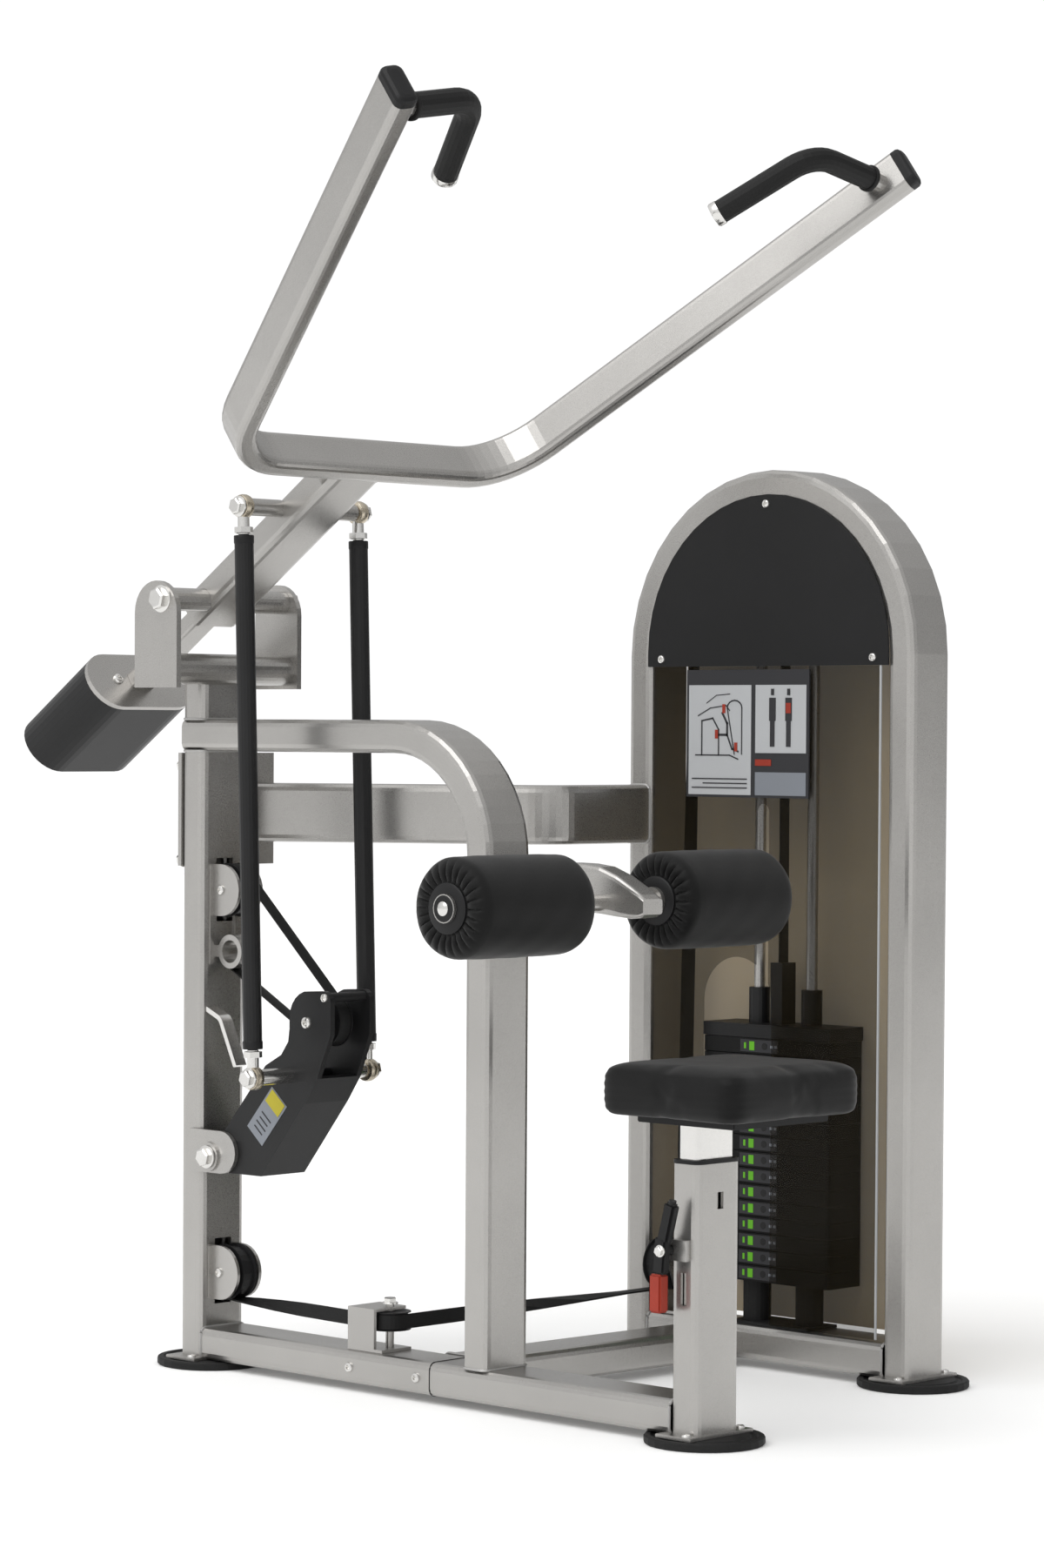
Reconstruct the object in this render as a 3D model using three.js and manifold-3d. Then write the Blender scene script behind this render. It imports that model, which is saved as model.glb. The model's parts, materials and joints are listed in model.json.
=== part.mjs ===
// Lat pulldown machine: a welded tube frame, a counterbalanced overhead arm on a four-bar linkage,
// a belt drive and a weight stack in a shrouded tower. Millimetres, +Z up, the user faces +Y.
import * as THREE from "three";
import Module from "manifold-3d";

const wasm = await Module();
wasm.setup();

// Tube stock shared by the frame members
const TUBE_W = 101.6;
const TUBE_T = 54;
const TUBE_R = 12.7;
const WALL = 3.2;
const GAP = 0.3;

// Base
const FOOT_R = 93.5;
const FOOT_H = 13;
const RAIL_Z0 = FOOT_H + GAP;
const RAIL_TOP = 68;
const TOWER_RAIL_TOP = 73;
const SEAT_POST_Y = -1117;
const CROSS_Y0 = -560;
const CROSS_Y1 = -600;

// Column, arch tube and link tube
const COLUMN_TOP = 1050;
const ARCH_POST_Y = -673;
const ARCH_BEND_R = 195;
const ARCH_Z = COLUMN_TOP + GAP + TUBE_T / 2;
const LINK_Z = 944;
const LINK_T = 50.8;
const LINK_BEND_R = 70;

// Weight tower
const TOWER_X = 670.5;
const TOWER_Y = -708;
const TOWER_HALF = 287.6;
const TOWER_TOP = 1533;
const TOWER_FACE_X = TOWER_X - TUBE_W / 2;
const TOWER_BACK_X = TOWER_X + TUBE_W / 2;
const SHROUD_T = 3.2;

// Arm: beam axis at 34 degrees, handle plane at 36 degrees
const PIVOT_Y = -25;
const PIVOT_Z = 1306;
const BEAM_ANGLE = THREE.MathUtils.degToRad(34);
const BEAM_OFFSET = 5;
const HANDLE_ANGLE = THREE.MathUtils.degToRad(36);
const CROSSBAR_Y = -368;
const CROSSBAR_Z = 1531;
const HANDLE_DEEP = 72;
const HANDLE_WIDE = 37;
const HANDLE_R = 12;

// Parallelogram linkage
const UPPER_PIN = [-213, 1455];
const LEVER_PIVOT = [-55, 363];
const LOWER_PIN = [-243, 512];
const PUSHROD_X = 132;
const PUSHROD_R = 16;
const PIN_R = 8;
const PIN_HALF = 150;

// Pulleys: outer radius, groove depth and the belt that runs in the groove
const GROOVE_DEPTH = 5;
const PULLEY_HALF_W = 15;
const GROOVE_HALF_W = 12.8;
const BORE_R = 7.5;
const AXLE_R = 7;
const BELT_T = 3;
const BELT_W = 24;
const BELT_LIFT = 0.7;
const COLUMN_PULLEY_UP = [-49, 814, 46];
const COLUMN_PULLEY_LOW = [-48, 162, 48];
const LEVER_PULLEY = [-285, 602, 42.5];
const ANCHOR = [-65, 710];
const ANCHOR_R = 29;
const SWIVEL = [8, -425, 117, 35];
const TOWER_LOW = [610, -500, 165, 45];
const TOP_PULLEY_Z = 1350;
const TOP_PULLEY_R = 50;
const TOP_PULLEY_Y = [-551.7, -661.3];

// Weight stack
const PLATE_X = 90;
const PLATE_Y = 280;
const PLATE_PITCH = 27.8;
const STACK_Z0 = 149;
const RESTING_PLATES = 10;
const LIFTED_PLATES = 5;
const ROD_R = 9.5;
const ROD_Y = [-656, -772];
const ROD_TOP = 1290;

const v3 = (x, y, z) => new THREE.Vector3(x, y, z);

// ---------- shape tools ----------

function roundedRect(width, height, radius, steps = 4) {
  const outline = [];
  const corners = [[1, 1, 0], [-1, 1, 1], [-1, -1, 2], [1, -1, 3]];
  for (const [sx, sy, quarter] of corners) {
    for (let i = 0; i <= steps; i += 1) {
      const angle = (quarter + i / steps) * Math.PI / 2;
      const cx = sx * (width / 2 - radius);
      const cy = sy * (height / 2 - radius);
      outline.push([cx + radius * Math.cos(angle), cy + radius * Math.sin(angle)]);
    }
  }
  return outline;
}

function circle(radius, steps = 16) {
  const outline = [];
  for (let i = 0; i < steps; i += 1) {
    const angle = 2 * Math.PI * i / steps;
    outline.push([radius * Math.cos(angle), radius * Math.sin(angle)]);
  }
  return outline;
}

function arc(cx, cy, radius, from, to, steps) {
  const points = [];
  for (let i = 0; i <= steps; i += 1) {
    const angle = THREE.MathUtils.degToRad(from + (to - from) * i / steps);
    points.push([cx + radius * Math.cos(angle), cy + radius * Math.sin(angle)]);
  }
  return points;
}

function signedVolume(points, faces) {
  let total = 0;
  for (let i = 0; i < faces.length; i += 3) {
    const [a, b, c] = [points[faces[i]], points[faces[i + 1]], points[faces[i + 2]]];
    total += a.dot(v3().crossVectors(b, c));
  }
  return total;
}

function buildGeometry(points, faces) {
  if (signedVolume(points, faces) < 0) faces.reverse();
  const geometry = new THREE.BufferGeometry();
  const flat = points.flatMap((p) => [p.x, p.y, p.z]);
  geometry.setAttribute("position", new THREE.Float32BufferAttribute(flat, 3));
  geometry.setIndex(faces);
  return geometry;
}

// Triangles of a flat outline with an optional hole, all counter-clockwise
function capFaces(outline, hole) {
  const contour = outline.map(([x, y]) => new THREE.Vector2(x, y));
  const inner = hole ? [hole.map(([x, y]) => new THREE.Vector2(x, y))] : [];
  const all = contour.concat(...inner);
  return THREE.ShapeUtils.triangulateShape(contour, inner).map((face) => {
    const [a, b, c] = face.map((index) => all[index]);
    const turn = (b.x - a.x) * (c.y - a.y) - (b.y - a.y) * (c.x - a.x);
    return turn < 0 ? [face[0], face[2], face[1]] : face;
  });
}

function counterClockwise(outline) {
  const area = outline.reduce((sum, [x, y], i) => {
    const [nx, ny] = outline[(i + 1) % outline.length];
    return sum + x * ny - nx * y;
  }, 0);
  return area < 0 ? outline.slice().reverse() : outline;
}

// Sweeps a shape along frames {p, u, v}; shape point [a, b] sits at p + a*u + b*v
function sweep(shape, frames, opening = null) {
  const outline = counterClockwise(shape);
  const hole = opening && counterClockwise(opening);
  const loops = hole ? [outline, hole] : [outline];
  const count = outline.length + (hole ? hole.length : 0);
  const points = [];
  for (const { p, u, v } of frames) {
    for (const [a, b] of loops.flat()) {
      points.push(p.clone().addScaledVector(u, a).addScaledVector(v, b));
    }
  }
  const faces = [];
  for (let ring = 0; ring < frames.length - 1; ring += 1) {
    let start = 0;
    loops.forEach((loop, loopIndex) => {
      for (let k = 0; k < loop.length; k += 1) {
        const a = ring * count + start + k;
        const b = ring * count + start + (k + 1) % loop.length;
        const c = b + count;
        const d = a + count;
        if (loopIndex === 0) faces.push(a, b, c, a, c, d);
        else faces.push(a, c, b, a, d, c);
      }
      start += loop.length;
    });
  }
  const last = (frames.length - 1) * count;
  for (const [a, b, c] of capFaces(outline, hole)) {
    faces.push(a, c, b, last + a, last + b, last + c);
  }
  return buildGeometry(points, faces);
}

// Frames along a flat path with filleted corners; v stays on the path's plane normal
function filletFrames(corners, radius, normal, steps = 8) {
  const frames = [];
  const add = (p, t) => frames.push({ p, u: v3().crossVectors(normal, t), v: normal.clone() });
  const direction = (a, b) => b.clone().sub(a).normalize();
  add(corners[0], direction(corners[0], corners[1]));
  for (let i = 1; i < corners.length - 1; i += 1) {
    const into = direction(corners[i - 1], corners[i]);
    const out = direction(corners[i], corners[i + 1]);
    const turn = into.angleTo(out);
    const reach = radius * Math.tan(turn / 2);
    const begin = corners[i].clone().addScaledVector(into, -reach);
    const toCentre = out.clone().addScaledVector(into, -out.dot(into)).normalize();
    const centre = begin.clone().addScaledVector(toCentre, radius);
    for (let k = 0; k <= steps; k += 1) {
      const angle = turn * k / steps;
      const p = centre.clone()
        .addScaledVector(toCentre, -radius * Math.cos(angle))
        .addScaledVector(into, radius * Math.sin(angle));
      const t = into.clone().multiplyScalar(Math.cos(angle)).addScaledVector(toCentre, Math.sin(angle));
      add(p, t);
    }
  }
  const end = corners.length - 1;
  add(corners[end], direction(corners[end - 1], corners[end]));
  return frames;
}

// Straight bar between two points, with the outline's second axis along `across`
function bar(outline, from, to, across, hole = null) {
  const t = to.clone().sub(from).normalize();
  const v = across.clone().addScaledVector(t, -across.dot(t)).normalize();
  const u = v3().crossVectors(v, t);
  return sweep(outline, [{ p: from, u, v }, { p: to, u, v }], hole);
}

function rod(from, to, radius, steps = 16, inner = 0) {
  const across = Math.abs(to.clone().sub(from).normalize().x) > 0.9 ? v3(0, 0, 1) : v3(1, 0, 0);
  return bar(circle(radius, steps), from, to, across, inner ? circle(inner, steps) : null);
}

function box(x0, x1, y0, y1, z0, z1) {
  const outline = [[x0, y0], [x1, y0], [x1, y1], [x0, y1]];
  const ring = (z) => ({ p: v3(0, 0, z), u: v3(1, 0, 0), v: v3(0, 1, 0) });
  return sweep(outline, [ring(z0), ring(z1)]);
}

// Plate with its outline in (Y, Z), thick along X
function plateX(outline, x0, x1) {
  const ring = (x) => ({ p: v3(x, 0, 0), u: v3(0, 1, 0), v: v3(0, 0, 1) });
  return sweep(outline, [ring(x0), ring(x1)]);
}

// Plate with its outline in (X, Z), thick along Y
function plateY(outline, y0, y1) {
  const ring = (y) => ({ p: v3(0, y, 0), u: v3(1, 0, 0), v: v3(0, 0, 1) });
  return sweep(outline, [ring(y0), ring(y1)]);
}

// Closed ring of a profile [radius, height] turned about an axis through `centre`
function turned(profile, centre, axis, steps = 20) {
  const points = [];
  const other = Math.abs(axis.z) > 0.9 ? v3(1, 0, 0) : v3(0, 0, 1);
  const side = v3().crossVectors(axis, other).normalize();
  const up = v3().crossVectors(axis, side).normalize();
  for (let i = 0; i < steps; i += 1) {
    const angle = 2 * Math.PI * i / steps;
    const out = side.clone().multiplyScalar(Math.cos(angle)).addScaledVector(up, Math.sin(angle));
    for (const [r, h] of profile) {
      points.push(centre.clone().addScaledVector(out, r).addScaledVector(axis, h));
    }
  }
  const n = profile.length;
  const faces = [];
  for (let i = 0; i < steps; i += 1) {
    for (let k = 0; k < n; k += 1) {
      const a = i * n + k;
      const b = i * n + (k + 1) % n;
      const c = ((i + 1) % steps) * n + (k + 1) % n;
      const d = ((i + 1) % steps) * n + k;
      faces.push(a, b, c, a, c, d);
    }
  }
  return buildGeometry(points, faces);
}

function toManifold(geometry) {
  const vertProperties = Float32Array.from(geometry.attributes.position.array);
  const triVerts = Uint32Array.from(geometry.index.array);
  return new wasm.Manifold(new wasm.Mesh({ numProp: 3, vertProperties, triVerts }));
}

function fromManifold(solid) {
  const mesh = solid.getMesh();
  const geometry = new THREE.BufferGeometry();
  geometry.setAttribute("position", new THREE.Float32BufferAttribute(mesh.vertProperties, 3));
  geometry.setIndex(Array.from(mesh.triVerts));
  return geometry;
}

function join(...geometries) {
  const [first, ...rest] = geometries.map(toManifold);
  return fromManifold(rest.reduce((sum, next) => sum.add(next), first));
}

function cut(geometry, ...tools) {
  return fromManifold(tools.map(toManifold).reduce((sum, tool) => sum.subtract(tool), toManifold(geometry)));
}

// ---------- materials ----------

const MATERIALS = {
  frame_silver: { color: 0xaaa8a4, metalness: 0.7, roughness: 0.4 },
  bright_steel: { color: 0xd0d0d0, metalness: 0.9, roughness: 0.2 },
  black_steel: { color: 0x1c1c1e, metalness: 0.3, roughness: 0.5 },
  rubber: { color: 0x151515, metalness: 0, roughness: 0.8 },
  black_plastic: { color: 0x202022, metalness: 0, roughness: 0.55 },
  smoked_plastic: { color: 0x6e655a, metalness: 0, roughness: 0.2 },
  vinyl: { color: 0x18181a, metalness: 0, roughness: 0.5 },
  belt: { color: 0x101010, metalness: 0, roughness: 0.7 },
  placard: { color: 0xe8e8e4, metalness: 0, roughness: 0.5 },
};

const machine = new THREE.Group();

function add(name, slot, geometry) {
  geometry.computeVertexNormals();
  const material = new THREE.MeshStandardMaterial({ ...MATERIALS[slot], name: slot, flatShading: true });
  const mesh = new THREE.Mesh(geometry, material);
  mesh.name = name;
  machine.add(mesh);
}

// ---------- base and frame ----------

const tubeOutline = (w, h) => roundedRect(w, h, TUBE_R, 3);
const tubeHole = (w, h) => roundedRect(w - 2 * WALL, h - 2 * WALL, TUBE_R - WALL, 3);

function tube(from, to, wide, tall, across) {
  return bar(tubeOutline(wide, tall), from, to, across, tubeHole(wide, tall));
}

function addFoot(name, x, y) {
  const rim = 2;
  const groove = 3;
  const rings = [
    [0, FOOT_R - rim], [rim, FOOT_R], [FOOT_H - rim, FOOT_R], [FOOT_H, FOOT_R - rim], [FOOT_H, FOOT_R - 10],
    [FOOT_H - groove, FOOT_R - 13], [FOOT_H - groove, FOOT_R - 19], [FOOT_H, FOOT_R - 22],
  ];
  const frames = rings.map(([z, r]) => ({ p: v3(x, y, z), u: v3(r, 0, 0), v: v3(0, r, 0) }));
  add(name, "rubber", sweep(circle(1, 28), frames));
}

function addBase() {
  const railH = RAIL_TOP - RAIL_Z0;
  const railZ = (RAIL_TOP + RAIL_Z0) / 2;
  const y0 = -TUBE_T / 2 - GAP;
  const y1 = SEAT_POST_Y + TUBE_T / 2 + GAP;
  add("base_rail", "frame_silver", tube(v3(0, y0, railZ), v3(0, y1, railZ), railH, TUBE_W, v3(1, 0, 0)));
  const outline = tubeOutline(TUBE_W, railH);
  const hole = tubeHole(TUBE_W, railH);
  const ring = (x, y) => ({ p: v3(x, y, railZ), u: v3(0, 1, 0), v: v3(0, 0, 1) });
  const crossX = [TUBE_W / 2 + GAP, TOWER_FACE_X - GAP];
  add("cross_rail", "frame_silver", sweep(outline, [ring(crossX[0], CROSS_Y0), ring(crossX[1], CROSS_Y1)], hole));
  const half = TOWER_HALF - TUBE_T / 2 - GAP;
  const towerH = TOWER_RAIL_TOP - RAIL_Z0;
  const towerZ = (TOWER_RAIL_TOP + RAIL_Z0) / 2;
  add("tower_base_rail", "frame_silver", tube(v3(TOWER_X, TOWER_Y + half, towerZ),
    v3(TOWER_X, TOWER_Y - half, towerZ), towerH, TUBE_W, v3(1, 0, 0)));
  addFoot("foot_column", 0, 0);
  addFoot("foot_seat", 0, SEAT_POST_Y);
  addFoot("foot_tower_near", TOWER_X, TOWER_Y - TOWER_HALF);
  addFoot("foot_tower_far", TOWER_X, TOWER_Y + TOWER_HALF);
}

function addColumn() {
  const slotHalf = 19;
  const slotReach = 8;
  const slot = ([, z, r]) => box(-slotHalf, slotHalf, -TUBE_T, -TUBE_T / 2 + 8, z - r - slotReach, z + r + slotReach);
  const body = tube(v3(0, 0, RAIL_Z0), v3(0, 0, COLUMN_TOP), TUBE_T, TUBE_W, v3(1, 0, 0));
  add("column", "frame_silver", cut(body, slot(COLUMN_PULLEY_UP), slot(COLUMN_PULLEY_LOW)));
}

function addArchTube() {
  const corners = [v3(0, TUBE_T / 2, ARCH_Z), v3(0, ARCH_POST_Y, ARCH_Z), v3(0, ARCH_POST_Y, RAIL_TOP + GAP)];
  const frames = filletFrames(corners, ARCH_BEND_R, v3(1, 0, 0), 12);
  add("arch_tube", "frame_silver", sweep(tubeOutline(TUBE_T, TUBE_W), frames, tubeHole(TUBE_T, TUBE_W)));
}

function addLinkTube() {
  const plateY0 = TUBE_T / 2 + GAP;
  const plateT = 8;
  const start = v3(120, plateY0 + plateT / 2, LINK_Z);
  const corner = v3(400, TOWER_Y + TOWER_HALF, LINK_Z);
  const end = v3(TOWER_FACE_X - GAP, TOWER_Y + TOWER_HALF, LINK_Z);
  const frames = filletFrames([start, corner, end], LINK_BEND_R, v3(0, 0, 1), 8);
  const lead = corner.clone().sub(start).normalize();
  frames[0].u = v3(-1 / lead.y, 0, 0);
  const body = sweep(tubeOutline(LINK_T, TUBE_W), frames);
  const plate = box(-TUBE_W / 2, 165, plateY0, plateY0 + plateT, 854, 1047);
  add("link_tube", "frame_silver", join(body, plate));
}

function addSeatPost() {
  const top = 431;
  const wall = 5;
  const bodyOutline = tubeOutline(TUBE_T, TUBE_W);
  const hole = roundedRect(TUBE_T - 2 * wall, TUBE_W - 2 * wall, TUBE_R - wall);
  const body = bar(bodyOutline, v3(0, SEAT_POST_Y, RAIL_Z0), v3(0, SEAT_POST_Y, top), v3(1, 0, 0), hole);
  const frontHole = box(-5, 9, SEAT_POST_Y - TUBE_T, SEAT_POST_Y - TUBE_T / 4, 361, 387);
  const sideSlot = box(-TUBE_W, -TUBE_W / 4, SEAT_POST_Y - 6, SEAT_POST_Y + 6, 215, 265);
  const block = box(-TUBE_W / 2 - 12, -TUBE_W / 2 + wall - 1, SEAT_POST_Y - 14, SEAT_POST_Y + 18, 284, 316);
  add("seat_post", "frame_silver", join(cut(body, frontHole, sideSlot), block));
}

function addTowerFrame() {
  const centreZ = TOWER_TOP - TOWER_HALF - TUBE_T / 2;
  const frames = [];
  const push = (y, z, t) => frames.push({ p: v3(TOWER_X, y, z), u: v3().crossVectors(v3(1, 0, 0), t), v: v3(1, 0, 0) });
  push(TOWER_Y + TOWER_HALF, RAIL_Z0, v3(0, 0, 1));
  for (const [y, z] of arc(0, 0, 1, 0, 180, 20)) {
    push(TOWER_Y + TOWER_HALF * y, centreZ + TOWER_HALF * z, v3(0, -z, y));
  }
  push(TOWER_Y - TOWER_HALF, RAIL_Z0, v3(0, 0, -1));
  add("tower_frame", "frame_silver", sweep(tubeOutline(TUBE_T, TUBE_W), frames, tubeHole(TUBE_T, TUBE_W)));
}

// ---------- pivots and brackets on the frame ----------

function addClevis() {
  const archTop = ARCH_Z + TUBE_T / 2;
  const neckTop = 1165;
  const neck = bar(tubeOutline(TUBE_T, TUBE_W), v3(0, 0, archTop + GAP), v3(0, 0, neckTop), v3(1, 0, 0));
  const earIn = 134;
  const earOut = 144;
  const cross = rod(v3(-earIn - 1, -30, 1189), v3(earIn + 1, -30, 1189), 26, 24);
  const ear = [[-63, 1157], [43, 1157], ...arc(-10, 1284, 53, 0, 180, 14)];
  add("pivot_clevis", "frame_silver", join(neck, cross, plateX(ear, earIn, earOut), plateX(ear, -earOut, -earIn)));
  const reach = earIn - GAP;
  add("pivot_shaft", "frame_silver", rod(v3(-reach, PIVOT_Y, PIVOT_Z), v3(reach, PIVOT_Y, PIVOT_Z), 19.5, 24));
}

const EAR_IN = 22;
const EAR_OUT = 28;
const COLUMN_FACE = -TUBE_T / 2 - GAP;

// Two D-shaped ears on the column's face with an axle between them
function pulleyEars([y, z, r]) {
  const radius = r - 2;
  const foot = 2;
  const ear = [[COLUMN_FACE, z + radius], ...arc(y, z, radius, 90, 270, 14), [COLUMN_FACE, z - radius]];
  const strap = (x0, x1) => box(x0, x1, COLUMN_FACE - 4, COLUMN_FACE, z - radius + foot, z + radius - foot);
  return [
    plateX(ear, EAR_IN, EAR_OUT),
    plateX(ear, -EAR_OUT, -EAR_IN),
    strap(EAR_IN, EAR_OUT + 8),
    strap(-EAR_OUT - 8, -EAR_IN),
    rod(v3(-EAR_IN - 1, y, z), v3(EAR_IN + 1, y, z), AXLE_R),
  ];
}

function addColumnBrackets() {
  const [ay, az] = ANCHOR;
  const ring = rod(v3(-EAR_IN, ay, az), v3(EAR_IN, ay, az), ANCHOR_R, 24, 19.5);
  const rib = box(-EAR_IN, EAR_IN, ay + ANCHOR_R - 3, COLUMN_FACE, az - 10, az + 10);
  const side = (x0, x1) => box(x0, x1, COLUMN_FACE - 4, COLUMN_FACE, az - 22, COLUMN_PULLEY_UP[1]);
  const tie = box(-EAR_OUT, EAR_OUT, COLUMN_FACE - 4, COLUMN_FACE, az - 22, az + 22);
  const straps = [side(EAR_IN, EAR_OUT + 8), side(-EAR_OUT - 8, -EAR_IN), tie];
  add("pulley_bracket_upper", "frame_silver", join(...pulleyEars(COLUMN_PULLEY_UP), ...straps, rib, ring));
  add("pulley_bracket_lower", "frame_silver", join(...pulleyEars(COLUMN_PULLEY_LOW)));
}

function addLeverBracket() {
  const [py, pz] = LEVER_PIVOT;
  const inner = TUBE_W / 2 + GAP;
  const outer = inner + 8;
  const ear = [[-5, 336], [-5, 408], ...arc(-84, pz + 9, 36, 90, 270, 10)];
  const shaft = rod(v3(-outer - 6, py, pz), v3(outer + 6, py, pz), 10, 20);
  const boss = (x0, x1) => rod(v3(x0, py, pz), v3(x1, py, pz), 25, 24);
  add("lever_bracket", "frame_silver", join(plateX(ear, inner, outer), plateX(ear, -outer, -inner), shaft,
    boss(outer - 1, outer + 4), boss(-outer - 4, -outer + 1)));
}

function addLeverStop() {
  const half = 12;
  const x = -30;
  const corners = [v3(x, COLUMN_FACE, 612), v3(x, -62, 597), v3(x, -100, 518)];
  const frames = filletFrames(corners, 20, v3(1, 0, 0), 5);
  frames[0].u = v3(0, 0, -1 / Math.cos(Math.atan2(15, 34.7)));
  const edge = (side) => frames.map(({ p, u }) => [p.y + u.y * side, p.z + u.z * side]);
  add("lever_stop", "bright_steel", plateX([...edge(4), ...edge(-4).reverse()], x - half, x + half));
}

function addSwivelBracket() {
  const [sx, sy] = SWIVEL;
  const z0 = RAIL_TOP + GAP;
  const top = 139;
  const west = -38;
  const base = box(west, 30, sy - 28, sy + 52, z0, z0 + 5);
  const wall = box(west, west + 6, sy - 9, sy + 52, z0 + 4, top);
  const roof = box(west, sx + 28, sy - 9, sy + 52, top - 5, top);
  add("swivel_bracket", "frame_silver", join(base, wall, roof, rod(v3(sx, sy, z0 + 2), v3(sx, sy, top + 6), AXLE_R)));
}

function addTowerLowBracket() {
  const [x, y, z] = TOWER_LOW;
  const z0 = TOWER_RAIL_TOP + GAP;
  const cheek = [[630, z0], [700, z0], [700, z0 + 20], [638, 182], [x, z + 22], [x - 18, z + 8], [x - 10, z - 16]];
  const base = box(630, 700, y - 22, y + 22, z0, z0 + 5);
  const half = 17;
  add("tower_pulley_bracket", "frame_silver", join(plateY(cheek, y + half, y + half + 5),
    plateY(cheek, y - half - 5, y - half), base, rod(v3(x, y - half - 1, z), v3(x, y + half + 1, z), AXLE_R)));
}

function addTopBracket() {
  const half = 18;
  const cheek = [[-700, 1332], [-520, 1332], [-520, 1362], [-585, 1438], [-700, 1438]];
  const roof = box(TOWER_X - half - 5, TOWER_X + half + 5, -735, -600, 1434, 1440);
  const hanger = box(TOWER_X - half - 5, TOWER_X + half + 5, -730, -686, 1436, 1474);
  const axle = (y) => rod(v3(TOWER_X - half - 1, y, TOP_PULLEY_Z), v3(TOWER_X + half + 1, y, TOP_PULLEY_Z), AXLE_R);
  add("top_pulley_bracket", "frame_silver", join(plateX(cheek, TOWER_X + half, TOWER_X + half + 5),
    plateX(cheek, TOWER_X - half - 5, TOWER_X - half), roof, hanger, ...TOP_PULLEY_Y.map(axle)));
}

// ---------- tower contents ----------

function addRodsAndBase() {
  const z0 = TOWER_RAIL_TOP + GAP;
  const baseT = 5;
  const rods = ["guide_rod_far", "guide_rod_near"];
  rods.forEach((name, i) => {
    add(name, "bright_steel", rod(v3(TOWER_X, ROD_Y[i], z0 + baseT + GAP), v3(TOWER_X, ROD_Y[i], ROD_TOP), ROD_R));
  });
  const plate = box(TOWER_X - 40, TOWER_X + 40, -800, -628, z0, z0 + baseT);
  const bumper = (y) => rod(v3(TOWER_X, y, z0 + baseT - 1), v3(TOWER_X, y, STACK_Z0 - GAP), 24, 20, ROD_R + 1);
  add("stack_base", "rubber", join(plate, ...ROD_Y.map(bumper)));
  const half = 242;
  const top = box(TOWER_X - 20, TOWER_X + 20, TOWER_Y - half, TOWER_Y + half, ROD_TOP - 14, ROD_TOP - 2);
  const hole = (y) => rod(v3(TOWER_X, y, ROD_TOP - 30), v3(TOWER_X, y, ROD_TOP + 10), ROD_R + GAP);
  const slots = [TOWER_Y, -503].map((y) => box(TOWER_X - 17, TOWER_X + 17, y - 8, y + 8, ROD_TOP - 20, ROD_TOP));
  add("rod_top_bar", "frame_silver", cut(top, ...ROD_Y.map(hole), ...slots));
}

// A pile of plates with a shallow groove between each pair
function platePile(z0, count) {
  const outline = roundedRect(PLATE_X, PLATE_Y, 6, 2);
  const inset = 0.97;
  const groove = 0.9;
  const frames = [];
  const push = (z, k) => frames.push({ p: v3(TOWER_X, TOWER_Y, z), u: v3(k, 0, 0), v: v3(0, 1 - (1 - k) / 3, 0) });
  for (let i = 0; i < count; i += 1) {
    const bottom = z0 + i * PLATE_PITCH;
    const top = bottom + PLATE_PITCH;
    if (i > 0) push(bottom + groove, 1);
    else push(bottom, 1);
    push(top - groove, 1);
    if (i < count - 1) push(top, inset);
  }
  const holes = ROD_Y.map((y) => rod(v3(TOWER_X, y, z0 - 5), v3(TOWER_X, y, z0 + count * PLATE_PITCH + 5), ROD_R + 1));
  return cut(sweep(outline, frames), ...holes);
}

const LIFT_Z0 = STACK_Z0 + RESTING_PLATES * PLATE_PITCH;
const PIN_Y = TOWER_Y + 2;
const PIN_Z = LIFT_Z0 + PLATE_PITCH / 2;

function addStack() {
  const face = TOWER_X - PLATE_X / 2;
  add("plates_resting", "black_steel", platePile(STACK_Z0, RESTING_PLATES));
  const pinHole = rod(v3(face - 10, PIN_Y, PIN_Z), v3(TOWER_X + 20, PIN_Y, PIN_Z), 5.5);
  add("plates_lifted", "black_steel", cut(platePile(LIFT_Z0, LIFTED_PLATES), pinHole));
  const z0 = LIFT_Z0 + LIFTED_PLATES * PLATE_PITCH;
  const top = box(face, face + PLATE_X, TOWER_Y - PLATE_Y / 2, TOWER_Y + PLATE_Y / 2, z0, z0 + 23);
  const bush = (y) => rod(v3(TOWER_X, y, z0 + 20), v3(TOWER_X, y, 650), 18, 20);
  const clamp = box(TOWER_X - 18, TOWER_X + 18, TOWER_Y - 13, TOWER_Y + 13, z0 + 20, 694);
  const bore = (y) => rod(v3(TOWER_X, y, z0 - 5), v3(TOWER_X, y, 660), ROD_R + 0.5);
  add("stack_carriage", "black_steel", cut(join(top, ...ROD_Y.map(bush), clamp), ...ROD_Y.map(bore)));
  const shank = rod(v3(face - 1, PIN_Y, PIN_Z), v3(TOWER_X + 15, PIN_Y, PIN_Z), 5);
  const head = rod(v3(face - 5, PIN_Y, PIN_Z), v3(face - GAP, PIN_Y, PIN_Z), 12, 20);
  add("selector_pin", "bright_steel", join(shank, head));
}

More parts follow.
